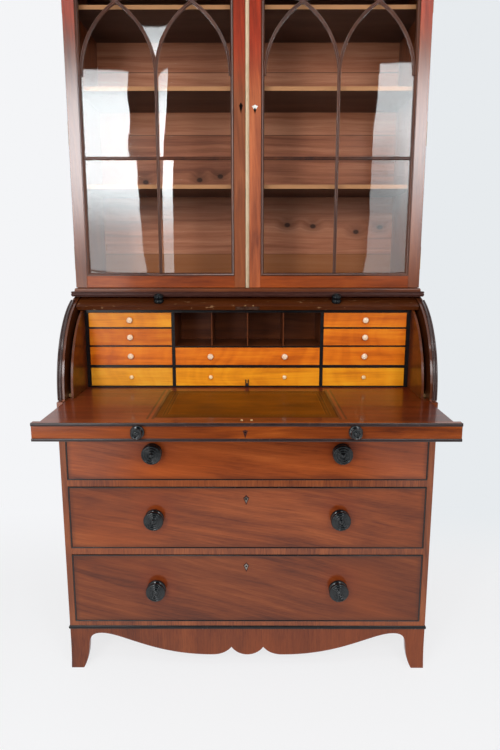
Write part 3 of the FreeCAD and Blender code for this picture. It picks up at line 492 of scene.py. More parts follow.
amberTones = ((0.38, (0.480, 0.085, 0.003)), (0.50, (0.710, 0.160, 0.005)), (0.62, (0.830, 0.250, 0.010)))
pineTones = ((0.38, (0.285, 0.081, 0.038)), (0.50, (0.525, 0.169, 0.081)), (0.64, (0.720, 0.290, 0.160)))
# painted shade: the shelves take much darker tones than the pine back; only their front edges stay pale
shadedShelfTones = ((0.38, (0.055, 0.028, 0.021)), (0.50, (0.100, 0.052, 0.038)), (0.64, (0.160, 0.082, 0.060)))
boxTones = ((0.36, (0.250, 0.125, 0.050)), (0.50, (0.400, 0.220, 0.095)), (0.66, (0.520, 0.310, 0.150)))
boneTones = ((0.36, (0.760, 0.470, 0.290)), (0.50, (0.900, 0.640, 0.430)), (0.64, (0.940, 0.760, 0.570)))
oldBoneTones = ((0.36, (0.800, 0.520, 0.240)), (0.50, (0.930, 0.680, 0.360)), (0.64, (0.950, 0.780, 0.500)))
plankFirst = 95.5 * mm  # height of the lowest plank of the bookcase back
seams = {"firstSeam": backLow.z + plankFirst, "boardHigh": (backHigh.z - backLow.z - plankFirst) / 4}
slideStrings = {"frameOut": 235.5 * mm, "frameFront": leatherLow.y - 15 * mm,
                "frameBack": leatherHigh.y + 17 * mm}
backKnots = [(knotX * mm, knotZ * mm) for knotX, knotZ in (
    (129, 1255), (213, 1251), (355, 1233), (433, 1248), (-157, 1397), (-90, 1408), (-332, 1390))]
polished = {"weight": 1.0, "roughness": 0.20, "ior": 1.70}
outerCoat = {**polished, "weight": wornFoot}
finishes = {
    "longGrain": mahogany("mahogany_long", "xz"),
    "uprightGrain": mahogany("mahogany_upright", "z", 1.0, 0.06, 0.40),
    "crossGrain": mahogany("mahogany_cross", "z", 1.12, 0.02, 0.12),
    "fasciaGrain": mahogany("mahogany_fascia", "xz", (1.02, 0.84, 0.45), coat={"weight": 0.5}),
    # painted shade: aprons and bracket feet are darker, as the light falls off towards the floor
    "apronShadedGrain": mahogany("mahogany_apron_painted_shade", "z", (0.81, 0.70, 0.67), 0.02, 0.10, {"weight": 0.5}),
    "sideGrain": mahogany("mahogany_side", "z", 1.0, 0.06, 0.40, None, shadedInside(sideHigh.x, slideTop)),
    "slideGrain": mahogany("mahogany_slide", "x", (0.66, 0.52, 0.42), 0.05, 0.36, {"weight": 0.35},
                           strungRound(leatherLow, leatherHigh, **slideStrings)),
    "darkGrain": mahogany("mahogany_dark", "xz", 0.50, coat={"weight": 0.15}),
    "footGrain": mahogany("mahogany_foot", "x", 0.50, coat={"weight": 0.3}),
    "barGrain": mahogany("mahogany_bars", "z", 0.34, 0.0, 0.30, {"weight": 1.0}),
    "railGrain": mahogany("mahogany_rail", "x", 0.34, 0.0, 0.35, {"weight": 0.6}, chippedEdge),
    "doorUpright": mahogany("mahogany_door_upright", "z", 1.0, 0.05, 0.36, polished, meetingRed),
    "outerLeft": mahogany("mahogany_outer_left", "z", 0.62, 0.05, 0.36, {**outerCoat, "ior": 1.72}, outerRed),
    "outerRight": mahogany("mahogany_outer_right", "z", 0.80, 0.05, 0.36, {**outerCoat, "ior": 1.86},
                           outerRed),
    # painted sheen: the meeting stile of the right door is paler and bluer than the wood, turning red above a
    # height
    "doorBright": mahogany("mahogany_door_painted_sheen", "z", (1.85, 1.85, 2.2), 0.05, 0.36, polished, brightRed),
    "doorLong": mahogany("mahogany_door_long", "x", (1.12, 0.84, 0.40), 0.05, 0.36, {"weight": 0.3}),
    "ebony": ebonised("ebonised"),
    "knobEbony": ebonised("ebonised_knob", -0.10, 0.0, 0.95, 0.05, 0.02),
    "cylinderEbony": ebonised("ebonised_cylinder_knob", -0.10, 0.0, 0.40, 0.08, 0.02),
    "edgingEbony": ebonised("ebonised_edging", 0.0, 0.0, 0.2, 0.30),
    "stripEbony": ebonised("ebonised_strip", 0.25, 0.2, 0.45, 0.28),
    "brownEbony": ebonised("ebonised_brown", 0.8, 0.2, 0.10, 0.20, 0.05),
    "lipBrown": ebonised("ebonised_lip", 0.55, 0.0, 0.9, 0.12),
    "gold": satinwood("satinwood_gold", goldTones),
    "amber": satinwood("satinwood_amber", amberTones),
    # painted sheen: paler, bluer copies for the upper and lower left drawers of the nest
    "goldPale": satinwood("satinwood_gold_painted_sheen", goldTones, (0.98, 1.12, 2.40)),
    "amberPale": satinwood("satinwood_amber_painted_sheen", amberTones, (1.03, 1.40, 1.55)),
    "amberDeep": satinwood("satinwood_amber_deep", amberTones, (0.82, 0.80, 0.85)),
    "pine": oldPine("pine_back", pineTones, knots=backKnots, polish=0.2, under=[shelfLow.z], **seams),
    "casePine": oldPine("pine_case", pineTones),
    "shadedShelfPine": oldPine("pine_shelf_painted_shade", shadedShelfTones, paleFront=shelfLow.y),
    "boxPine": oldPine("pine_box", boxTones),
    "brass": agedMetal("brass_aged", (0.70, 0.50, 0.22), (0.30, 0.18, 0.07)),
    "paleBrass": agedMetal("brass_pale", (0.66, 0.50, 0.34), (0.56, 0.42, 0.27), 0.50),
    "boltBrass": agedMetal("brass_bolt", (0.90, 0.66, 0.34), (0.70, 0.48, 0.22), 0.35),
    "brightSteel": agedMetal("steel_bright", (0.92, 0.90, 0.86), (0.75, 0.72, 0.66), 0.55),
    "steel": agedMetal("steel_worn", (0.42, 0.38, 0.34), (0.16, 0.13, 0.11), 0.38),
    "catchSteel": agedMetal("steel_catch", (0.10, 0.14, 0.20), (0.06, 0.08, 0.12), 0.45),
    "iron": blackIron("iron_black"),
    # painted shade for keyholes, also the dark kite of the left door
    "void": matteDark("keyhole_dark", 0.004),
    "leather": tooledLeather("leather_tooled", leatherLow, leatherHigh),
    "glassLeft": oldGlass("glass_left", leftWarp),
    "glassRight": oldGlass("glass_right", rightWarp),
    "bone": polishedBone("bone_polished", boneTones),
    "oldBone": polishedBone("bone_yellowed", oldBoneTones),
}
# painted light and shade by drawer, then the coat's weight: the top drawer is lifted against the shade under
# the slide, and the lowest is darkened towards the floor
drawerPaintedLightAndCoat = {1: ((1.55, 1.36, 1.05), 0.75), 2: ((1.10, 1.00, 0.90), 0.50), 3: ((0.84, 0.77, 0.76), 0.50)}
for number, (depth, weight) in drawerPaintedLightAndCoat.items():
    low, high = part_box(f"drawer_{number}_knobs")
    knobRadius = (high.z - low.z) / 2
    marks = waxedRound(high.x - knobRadius, (low.z + high.z) / 2, *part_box(f"drawer_{number}_front"))
    finishes[f"drawerPaintedLightGrain{number}"] = mahogany(f"mahogany_drawer_painted_light_{number}", "xz", depth,
                                                0.06 + 0.07 * number, 0.30, {"weight": weight}, marks)
print("finishes made:", len(finishes))

# Finishes of the CAD nodes, also of those that a piece stands for
nodeFinish = {
    "side_left": "sideGrain", "side_right": "sideGrain", "case_back": "casePine",
    "drawer_rails": "crossGrain", "case_mouldings": "ebony", "aprons": "apronShadedGrain",
    "bracket_feet": "apronShadedGrain", "desk_top": "longGrain", "nest_boards": "darkGrain",
    "nest_edging": "edgingEbony", "runner_blocks": "boxPine", "arch_lips": "lipBrown",
    "bookcase_sides": "uprightGrain", "bookcase_ends": "longGrain", "bookcase_back": "pine",
    "shelves": "shadedShelfPine", "cornice": "longGrain", "cylinder_shell": "longGrain",
    "cylinder_rail": "railGrain", "cylinder_knobs": "ebony", "cylinder_fittings": "iron",
    "slide_board": "slideGrain", "slide_leather": "leather", "slide_fascia": "longGrain",
    "slide_strips": "ebony", "slide_knobs": "ebony", "slide_lock": "brass",
    "door_left_glass": "glassLeft", "door_right_glass": "glassRight",
}
drawerFinish = {"beads": "ebony", "box": "boxPine", "knobs": "ebony", "lock": "brass"}
doorFinish = {"frame": "doorUpright", "bars": "barGrain", "brass": "brass"}
for name, node in nodes.items():
    look = nodeFinish.get(name)
    if name.startswith("drawer_") and name != "drawer_rails":
        number, kind = name.split("_")[1:]
        look = drawerFinish.get(kind, f"drawerPaintedLightGrain{number}")
    elif name.startswith("door_") and look is None:
        look = doorFinish[name.split("_")[2]]
    elif look is None:
        look = "gold" if "_low_" in name else "amber"
    node.data.materials.clear()
    node.data.materials.append(finishes[look])
print("nodes dressed:", len(nodes))


# Shapes: every part is (points, faces, finish number), and several parts join into one piece
forward, upward = (0, -1, 0), (0, 0, 1)


# a grid of points (rows, columns, 3) as quads, closed round either way on request
def gridFaces(rows, columns, closeRows=False, closeColumns=True):
    i = np.arange(rows if closeRows else rows - 1)[:, None]
    j = np.arange(columns if closeColumns else columns - 1)[None, :]
    nextI, nextJ = (i + 1) % rows, (j + 1) % columns
    quads = [i * columns + j, i * columns + nextJ, nextI * columns + nextJ, nextI * columns + j]
    return np.stack(np.broadcast_arrays(*quads), -1).reshape(-1, 4).tolist()


# a profile carried along a flat path: point = path + out * mitre + up * lift, mitre being the in-plane normal
# lengthened at corners, so that joints come out mitred
def carry(path, profile, lift, closed=False, look=0):
    path, profile, lift = np.asarray(path, float), np.asarray(profile, float), np.asarray(lift, float)
    step = np.roll(path, -1, 0) - path
    step = step / np.linalg.norm(step, axis=1, keepdims=True)
    after = np.cross(step, lift)
    before = np.roll(after, 1, 0)
    if not closed:
        after[-1] = after[-2]
        before[0] = after[0]
    mitre = (before + after) / (1.0 + np.sum(before * after, 1, keepdims=True))
    points = path[:, None] + profile[None, :, :1] * mitre[:, None] + profile[None, :, 1:] * lift
    rows, columns = points.shape[:2]
    faces = gridFaces(rows, columns, closed)
    if not closed:
        faces.append(list(range(columns)))
        faces.append(list(range((rows - 1) * columns, rows * columns)))
    return points.reshape(-1, 3), faces, look


# a turned shape: centre + height * axis + radius * (cos t * side + sin t * up)
def turn(centre, axis, profile, steps=40, look=0):
    axis = np.asarray(axis, float) / np.linalg.norm(axis)
    side = np.cross(axis, (0.0, 0.31, 1.0) if abs(axis[2]) < 0.9 else (0.0, 1.0, 0.0))
    side = side / np.linalg.norm(side)
    up = np.cross(axis, side)
    angle = np.linspace(0.0, 2 * np.pi, steps, endpoint=False)
    ring = np.cos(angle)[:, None] * side + np.sin(angle)[:, None] * up
    radius, height = np.asarray(profile, float).T
    points = np.asarray(centre) + height[:, None, None] * axis + radius[:, None, None] * ring[None]
    faces = gridFaces(len(radius), steps)
    faces.append(list(range(steps)))
    faces.append(list(range((len(radius) - 1) * steps, len(radius) * steps)))
    return points.reshape(-1, 3), faces, look


# a smooth line through a few points: a cubic between neighbours, with slopes (next - last) / 2 and n steps
def smooth(points, n=4):
    p = np.asarray(points, float)
    p = np.vstack([2 * p[0] - p[1], p, 2 * p[-1] - p[-2]])
    t = np.linspace(0.0, 1.0, n, endpoint=False)[None, :, None]
    a, b, c, d = (p[k:len(p) - 3 + k, None] for k in range(4))
    curve = 2 * b + (c - a) * t + (2 * a - 5 * b + 4 * c - d) * t ** 2 + (3 * b - a - 3 * c + d) * t ** 3
    return np.vstack([0.5 * curve.reshape(-1, 2), p[-2]])


# part of an ellipse: centre + (wide * cos t, high * sin t), from one angle to another in degrees
def arc(centre, wide, start, end, steps, high=None):
    angle = np.radians(np.linspace(start, end, steps))
    high = wide if high is None else high
    return np.column_stack([centre[0] + wide * np.cos(angle), centre[1] + high * np.sin(angle)])


# a board with softened edges between two corners
def slab(low, high, look=0, soft=0.0007):
    made = bmesh.new()
    bmesh.ops.create_cube(made, size=1.0)
    low, high = np.asarray(low, float), np.asarray(high, float)
    for vertex in made.verts:
        vertex.co = (low + high) / 2 + np.asarray(vertex.co) * (high - low)
    bmesh.ops.bevel(made, geom=made.edges, offset=soft, segments=1, affect="EDGES", profile=0.5)
    made.verts.index_update()
    points = np.array([v.co for v in made.verts])
    faces = [[v.index for v in f.verts] for f in made.faces]
    made.free()
    return points, faces, look


# a flat outline in x and z given a thickness along y
def plate(outline, front, back, look=0):
    outline = np.asarray(outline, float)
    count = len(outline)
    face = np.column_stack([outline[:, 0], np.full(count, front), outline[:, 1]])
    faces = gridFaces(2, count) + [list(range(count)), list(range(count, 2 * count))]
    return np.vstack([face, face + (0.0, back - front, 0.0)]), faces, look


# a profile in mm, stretched upwards to a height
def stretched(profile, tall):
    return np.asarray(profile, float) * (mm, tall / np.max(profile, axis=0)[1])


# left, front and right edges of a block, in the order that points the mitre outwards
def roundThree(half, front, back, height):
    return [(-half, back, height), (-half, front, height), (half, front, height), (half, back, height)]


# the corners of an upright opening, in the order that points the mitre outwards
def roundFour(left, right, low, high, depth):
    return [(left, depth, low), (right, depth, low), (right, depth, high), (left, depth, high)]


# one object from parts; each part names its finish by its number in looks
def piece(name, parts, looks, body, replaces=(), sharp=32.0):
    points, faces, which = [], [], []
    start = 0
    for shape, sides, look in parts:
        points.append(shape)
        faces += [[index + start for index in side] for side in sides]
        which += [look] * len(sides)
        start += len(shape)
    mesh = bpy.data.meshes.new(name)
    mesh.from_pydata(np.vstack(points).tolist(), [], faces)
    mesh.polygons.foreach_set("material_index", which)
    made = bmesh.new()
    made.from_mesh(mesh)
    bmesh.ops.remove_doubles(made, verts=made.verts, dist=1e-6)
    bmesh.ops.recalc_face_normals(made, faces=made.faces)
    made.to_mesh(mesh)
    made.free()
    mesh.polygons.foreach_set("use_smooth", [True] * len(mesh.polygons))
    mesh.set_sharp_from_angle(angle=math.radians(sharp))
    for look in looks.split():
        mesh.materials.append(finishes[look])
    thing = bpy.data.objects.new(name, mesh)
    bpy.context.scene.collection.objects.link(thing)
    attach(thing, body)
    if replaces:
        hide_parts(*replaces)


# Turned knobs: shares of the radius and of the length, from the seat outwards; those of the slide have a
# broad flange, a neck and a smaller hollowed face
turnedKnob = {
    "steps": 56,
    "desk": (
        (0.00, 0.00), (0.80, 0.00), (0.92, 0.03), (0.97, 0.10), (0.97, 0.20), (0.92, 0.28), (0.82, 0.33),
        (0.76, 0.38), (0.76, 0.44), (0.83, 0.49), (0.94, 0.53), (0.99, 0.59), (1.00, 0.67), (0.98, 0.75),
        (0.92, 0.81), (0.84, 0.83), (0.79, 0.81), (0.74, 0.82), (0.68, 0.86), (0.60, 0.86), (0.55, 0.83),
        (0.49, 0.84), (0.43, 0.88), (0.36, 0.88), (0.31, 0.85), (0.26, 0.87), (0.18, 0.94), (0.09, 0.985),
        (0.001, 1.00)),
    "slide": (
        (0.00, 0.00), (0.90, 0.00), (0.98, 0.06), (1.00, 0.15), (0.97, 0.25), (0.86, 0.32), (0.66, 0.37),
        (0.60, 0.45), (0.66, 0.53), (0.77, 0.59), (0.81, 0.70), (0.80, 0.84), (0.74, 0.94), (0.66, 1.00),
        (0.58, 0.96), (0.46, 0.90), (0.32, 0.89), (0.20, 0.93), (0.10, 0.975), (0.001, 0.985)),
}


def knobPart(centre, axis, radius, length, kind="desk"):
    shape = np.asarray(turnedKnob[kind]) * (radius, length)
    return turn(centre, axis, smooth(shape, 3), turnedKnob["steps"])


# a pair of knobs that fills the box of its node and faces the front
def knobPair(name, kind):
    low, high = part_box(name)
    radius = (high.z - low.z) / 2
    return [knobPart((x, high.y, (low.z + high.z) / 2), forward, radius, high.y - low.y, kind)
            for x in (low.x + radius, high.x - radius)]


for body in ("drawer_1", "drawer_2", "drawer_3", "slide"):
    name = f"{body}_knobs"
    pair = knobPair(name, "slide" if body == "slide" else "desk")
    piece(f"{body}_turned_knobs", pair, "knobEbony", body, [name])

# the cylinder's knobs stand square to its curve: direction = (0, -cos t, sin t) from the pivot
cylinderKnob = {"radius": 14 * mm, "length": 26 * mm, "turn": 70.0, "seat": 251.6 * mm}
pivot = np.array(joints["cylinder_turn"]["pos_m"])


def fromPivot(x, radius, degrees):
    angle = np.radians(degrees)
    return np.array((x, pivot[1] - radius * np.cos(angle), pivot[2] + radius * np.sin(angle)))


low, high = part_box("cylinder_knobs")
parts = []
for x in (low.x + cylinderKnob["radius"], high.x - cylinderKnob["radius"]):
    seat = fromPivot(x, cylinderKnob["seat"], cylinderKnob["turn"])
    outward = seat - (x, pivot[1], pivot[2])
    parts.append(knobPart(seat, outward, cylinderKnob["radius"], cylinderKnob["length"]))
piece("cylinder_turned_knobs", parts, "cylinderEbony", "cylinder", ["cylinder_knobs"])
print("turned knobs made")

# Cockbeads: a half-round nose carried round each drawer front
for number in (1, 2, 3):
    low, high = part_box(f"drawer_{number}_beads")
    inLow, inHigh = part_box(f"drawer_{number}_front")
    thick, deep = high.x - inHigh.x, high.y - low.y
    profile = np.vstack([[(0, 0), (thick, 0)], arc((thick / 2, deep - thick / 2), thick / 2, 0, 180, 9)])
    path = roundFour(inLow.x, inHigh.x, inLow.z, inHigh.z, high.y)
    piece(f"drawer_{number}_cockbeads", [carry(path, profile, forward, True)], "ebony", f"drawer_{number}",
          [f"drawer_{number}_beads"])

# Key plates: a kite with shoulders, on some a drop inlaid in it, and a dark disc of painted shade for
# a round hole, in mm
# kite and drop: half width, half height, share of it to the shoulders, lift; hole: radius, lift
drawerLock = {"half": 26 * mm, "high": 50 * mm, "deep": 8 * mm, "drop": 33.8 * mm, "off": -2.7 * mm}
layerStep = 0.08 * mm
keyPlates = {
    "drawer": {"kite": (8.2, 14.6, 0.40, 0.0), "drop": (5.4, 9.6, 0.40, 0.6), "hole": (2.6, 2.8)},
    "slide": {"kite": (6.2, 10.6, 0.80, 0.0), "hole": (1.9, 4.5)},
    "doorLeft": {"kite": (5.2, 15.0, 0.45, 0.0), "hole": (2.2, 4.5)},
    "doorRight": {"kite": (8.3, 8.5, 0.55, -1.5), "drop": (3.8, 8.5, 0.40, -8.5), "hole": (2.4, -6.0)},
}


# a kite with hollow sides: its shoulders lie at a share of its half height above the middle
def kiteOutline(half, tall, shoulder):
    corners = np.array(((0, 1), (1, shoulder), (0, -1), (-1, shoulder), (0, 1))) * (half, tall)
    middle = np.array((0, 0.4 * shoulder * tall))
    t = np.linspace(0.0, 1.0, 6, endpoint=False)[:, None]
    lines = [first + (last - first) * t for first, last in zip(corners, corners[1:])]
    return np.vstack([line + (middle - line) * (0.16 * t * (1.0 - t)) for line in lines])


# the parts of a key plate at (x, z) on a face, each layer a little prouder than the one under it
def keyPlate(kind, x, z, face, proud):
    look = keyPlates[kind]
    layers = []
    for layer in ("kite", "drop"):
        if layer in look:
            *shape, lift = look[layer]
            layers.append(kiteOutline(*shape) + (0, lift))
    radius, lift = look["hole"]
    layers.append(arc((0, lift), radius, 0, 345, 24))
    numbers = (0, 1, 2) if "drop" in look else (0, 2)
    return [plate(layer * mm + (x, z), face - proud - step * layerStep, face, number)
            for step, (layer, number) in enumerate(zip(layers, numbers))]


for number in (1, 2, 3):
    low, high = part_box(f"drawer_{number}_lock")
    frontLow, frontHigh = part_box(f"drawer_{number}_front")
    look = drawerLock
    case = slab((-look["half"], frontHigh.y, high.z - look["high"]),
                (look["half"], frontHigh.y + look["deep"], high.z), 3)
    parts = keyPlate("drawer", look["off"], frontHigh.z - look["drop"], frontLow.y, frontLow.y - low.y)
    piece(f"drawer_{number}_keyhole", parts + [case], "brownEbony steel void brass", f"drawer_{number}",
          [f"drawer_{number}_lock"])
print("beads and locks made")

# Black mouldings of the case: a half-round at the base, and a torus between fillets at the waist
blackMould = {
    "base": np.vstack([[(-20, 0), (0.6, 0)], arc((0.6, 5.25), 2.4, -80, 80, 11, 4.9),
                       [(0.6, 10.5), (-20, 10.5)]]),
    "waist": np.vstack([[(0, 0), (1.2, 0), (1.2, 1.3)], arc((0.9, 5.9), 2.1, -75, 75, 11, 4.6),
                        [(1.2, 10.6), (3, 10.9), (3, 14.2), (0, 14.2)]]),
    "waistLow": 1042.0 * mm, "waistOut": 7 * mm,
}
low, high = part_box("case_mouldings")
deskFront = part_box("desk_top")[0].y
waistLow, waistFront = blackMould["waistLow"], deskFront - blackMould["waistOut"]
baseMould = stretched(blackMould["base"], sideLow.z - low.z)
waistMould = stretched(blackMould["waist"], high.z - waistLow)
parts = [carry(roundThree(sideHigh.x, sideLow.y, sideHigh.y, low.z), baseMould, upward),
         carry(roundThree(sideHigh.x, waistFront, sideHigh.y, waistLow), waistMould, upward, look=1),
         slab((-sideHigh.x, waistFront, waistLow), (sideHigh.x, deskFront, high.z), 1)]
piece("case_black_mouldings", parts, "edgingEbony brownEbony", "case", ["case_mouldings"])

# Foot and roof of the bookcase: a board with an ovolo edge below, and plain boards inside
bookcaseEnds = {
    "mould": np.vstack([[(0, 0), (3, 0), (3, 4.2)], arc((0.4, 4.6), 2.3, 0, 90, 8, 4.4), [(0, 9.3)]]),
    "out": 3 * mm, "floor": 14 * mm, "roof": 16 * mm,
}
low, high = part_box("bookcase_ends")
wallLow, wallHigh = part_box("bookcase_sides")
inner, footFront = backHigh.x, low.y + bookcaseEnds["out"]
footMould = stretched(bookcaseEnds["mould"], wallLow.z - low.z)
floorTop, roofLow = wallLow.z + bookcaseEnds["floor"], wallHigh.z - bookcaseEnds["roof"]
parts = [carry(roundThree(wallHigh.x, footFront, high.y, low.z), footMould, upward),
         slab((-wallHigh.x, footFront, low.z), (wallHigh.x, high.y, wallLow.z)),
         slab((-inner, wallLow.y, wallLow.z), (inner, backLow.y, floorTop)),
         slab((-inner, wallLow.y, roofLow), (inner, backLow.y, wallHigh.z))]
piece("bookcase_foot_and_roof", parts, "footGrain", "case", ["bookcase_ends"])

# Cornice: a plain frieze, a small bead, a cyma that swells outwards, and a square top fillet, round a block
# that stays inside the frieze
low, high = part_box("cornice")
out, inset = high.x - wallHigh.x, 1 * mm
bead = arc((2.0, 38.5), 2.5, -90, 90, 9)
swell = smooth(((5.0, 44.0), (6.5, 52.0), (11.0, 58.5), (16.0, 63.0), (18.0, 68.5)), 5)
corniceMould = np.vstack([[(-4, 0), (0, 0), (0, 36)], bead, [(4.0, 41.5), (4.0, 44.0)], swell,
                          [(19.5, 68.5), (19.5, 70.0), (22, 70.0), (22, 78), (-4, 78)]]) * mm
parts = [carry(roundThree(wallHigh.x, low.y + out, high.y, low.z), corniceMould, upward),
         slab((-wallHigh.x + inset, low.y + out + inset, low.z),
              (wallHigh.x - inset, high.y, high.z - inset))]
piece("cornice_moulded", parts, "longGrain", "case", ["cornice"])

# Lips of the arched sides: a wide reed inside and a narrow one outside, carried round the curve
archLip = {"inside": 255 * mm, "rise": 4 * mm, "wide": 12.5 * mm, "top": 70.0, "foot": -2.3, "inner": 0.64}


# reeds side by side, each half an ellipse that stands out by 0.3 of its width
def reedProfile(widths):
    edges = np.concatenate([[0.0], np.cumsum(widths)])
    reeds = [arc((archLip["rise"] - 0.3 * each, edge + each / 2), 0.3 * each, -90, 90, 11, each / 2)
             for edge, each in zip(edges, widths)]
    return np.vstack([[(0, 0)], *reeds, [(0, edges[-1])]])


low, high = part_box("arch_lips")
look = archLip
widths = [look["wide"] * share for share in (look["inner"], 1.0 - look["inner"])]
parts = []
for start, order in ((low.x, widths[::-1]), (high.x - look["wide"], widths)):
    path = [fromPivot(start, look["inside"], t) for t in np.linspace(look["top"], look["foot"], 49)]
    parts.append(carry(path, reedProfile(order), (1, 0, 0)))
piece("arch_reeded_lips", parts, "lipBrown", "case", ["arch_lips"])
print("mouldings made")

# Writing slide: soft-edged fascia, half-round black strips above and below, and a small dark kite
slideFront = {"clear": 0.3 * mm, "soft": 1.2 * mm, "topStrip": 8.5 * mm, "lowStrip": 7.5 * mm,
              "keyX": -3.0 * mm, "keyZ": 752.0 * mm, "proud": 0.4 * mm}
look = slideFront
low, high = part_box("slide_fascia")
board = slab(low, (high.x, high.y - look["clear"], high.z), 0, look["soft"])
piece("slide_front", [board], "fasciaGrain", "slide", ["slide_fascia"])
stripLow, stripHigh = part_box("slide_strips")
parts = []
for foot, tall in ((stripHigh.z - look["topStrip"], look["topStrip"]), (stripLow.z, look["lowStrip"])):
    nose = arc((0.0, tall / 2), stripHigh.y - stripLow.y, -90, 90, 13, tall / 2)
    parts.append(carry([(low.x, low.y, foot), (high.x, low.y, foot)], nose, upward))
piece("slide_half_rounds", parts, "stripEbony", "slide", ["slide_strips"])
piece("slide_keyhole", keyPlate("slide", look["keyX"], look["keyZ"], low.y, look["proud"]),
      "brownEbony steel void", "slide")

# domed ends of the two bolts of the slide's lock, over the plain ones
bolts = {"x": 11.5 * mm, "back": 3 * mm,
         "profile": ((0, 0), (3.4, 0), (3.4, 0.5), (2.9, 1.3), (1.8, 1.9), (0.001, 2.1))}
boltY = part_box("slide_lock")[1].y - bolts["back"]
dome = smooth(np.array(bolts["profile"]) * mm, 3)
parts = [turn((x, boltY, slideTop), upward, dome, 24) for x in (-bolts["x"], bolts["x"])]
piece("slide_bolt_tips", parts, "boltBrass", "slide")

# Strike plate and two worn brass pins on the lower edge of the cylinder, laid over the plain fittings
strike = {"half": 34 * mm, "in": 241 * mm, "out": 250 * mm, "turn": 64.03, "thick": 0.25 * mm,
          "pins": (-6 * mm, 16 * mm), "pinTurn": 65.1, "pinSeat": 250.9 * mm,
          "dome": ((0, 0), (2.4, 0), (2.4, 0.6), (1.8, 1.3), (0.9, 1.7), (0.001, 1.8))}
faceIn, faceOut = (fromPivot(0.0, strike[key], strike["turn"]) for key in ("in", "out"))
path = [faceOut - (strike["half"], 0, 0), faceOut + (strike["half"], 0, 0)]
across = faceIn - faceOut
normal = np.cross((1, 0, 0), across)
normal = normal / np.linalg.norm(normal)
normal = normal * (1 if normal[1] < 0 else -1)
wide = np.linalg.norm(across)
sign = 1 if np.dot(np.cross((1, 0, 0), normal), across) > 0 else -1
profile = [(0, 0), (sign * wide, 0), (sign * wide, strike["thick"]), (0, strike["thick"])]
parts = [carry(path, profile, normal)]
for x in strike["pins"]:
    seat = fromPivot(x, strike["pinSeat"], strike["pinTurn"])
    parts.append(turn(seat, seat - (x, pivot[1], pivot[2]), np.array(strike["dome"]) * mm, 20, 1))
piece("cylinder_strike_plate", parts, "steel brass", "cylinder")
print("slide and cylinder dressed")

# Small drawers of the nest: softened boards and turned bone knobs
nestDrawer = {"face": 1 * mm, "front": 8 * mm, "wall": 4 * mm, "groove": 1 * mm, "base": 3 * mm,
              "drop": 3 * mm, "centreKnob": 107 * mm}
boneKnob = {
    "profile": ((0.00, 0.00), (0.46, 0.00), (0.46, 0.05), (0.38, 0.12), (0.34, 0.24), (0.40, 0.36),
                (0.72, 0.44), (0.95, 0.54), (1.00, 0.65), (0.94, 0.79), (0.74, 0.91), (0.52, 0.945),
                (0.44, 0.925), (0.34, 0.95), (0.18, 0.99), (0.001, 1.00)),
    "bank": (8.5 * mm, 13 * mm), "low": (5.8 * mm, 10 * mm),
}
# the catch: left, right, how far it stands out, height (all mm) and finish number of its cheeks and tongue
nestCatch = {"parts": ((-6.5, -3.6, 5, 18.6, 3), (0.6, 3.5, 5, 18.6, 3), (-3.6, 0.6, 2, 8, 4)),
             "soft": 0.4 * mm}
# the upper and lower left drawers of the nest take the painted sheen; the middle left one is darker
nestWood = {"nest_left_1": "amberPale", "nest_left_2": "amberDeep", "nest_low_left": "goldPale"}
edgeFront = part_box("nest_edging")[0].y
small = [f"nest_{side}_{row}" for side in ("left", "right") for row in (1, 2, 3)]
small += ["nest_centre", "nest_low_left", "nest_low_centre", "nest_low_right"]
for name in small:
    look = nestDrawer
    low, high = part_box(name)
    face = edgeFront + look["face"]
    inside, wallTop = face + look["front"], high.z - look["drop"]
    baseLow = low.z + look["groove"]
    baseTop = baseLow + look["base"]
    left, right = low.x + look["wall"], high.x - look["wall"]
    parts = [slab((low.x, face, low.z), (high.x, inside, high.z)),
             slab((low.x, inside, low.z), (left, high.y, wallTop), 1),
             slab((right, inside, low.z), (high.x, high.y, wallTop), 1),
             slab((left, high.y - look["wall"], baseTop), (right, high.y, wallTop), 1),
             slab((left, inside, baseLow), (right, high.y, baseTop), 1)]
    middle = (low.x + high.x) / 2
    places = (-look["centreKnob"], look["centreKnob"]) if "centre" in name else (middle,)
    radius, length = boneKnob["low" if "_low_" in name else "bank"]
    shape = smooth(np.asarray(boneKnob["profile"]) * (radius, length), 3)
    parts += [turn((x, face, (low.z + high.z) / 2), forward, shape, 36, 2) for x in places]
    if name == "nest_low_centre":
        for start, end, out, tall, number in nestCatch["parts"]:
            parts.append(slab((start * mm, face - out * mm, low.z), (end * mm, face, low.z + tall * mm),
                              number, nestCatch["soft"]))
    wood = nestWood.get(name, "gold" if "_low_" in name else "amber")
    looks = f"{wood} boxPine oldBone iron catchSteel" if "_low_" in name else f"{wood} boxPine bone"
    piece(f"{name}_made", parts, looks, f"{name}_drawer", [name])
print("nest drawers made")

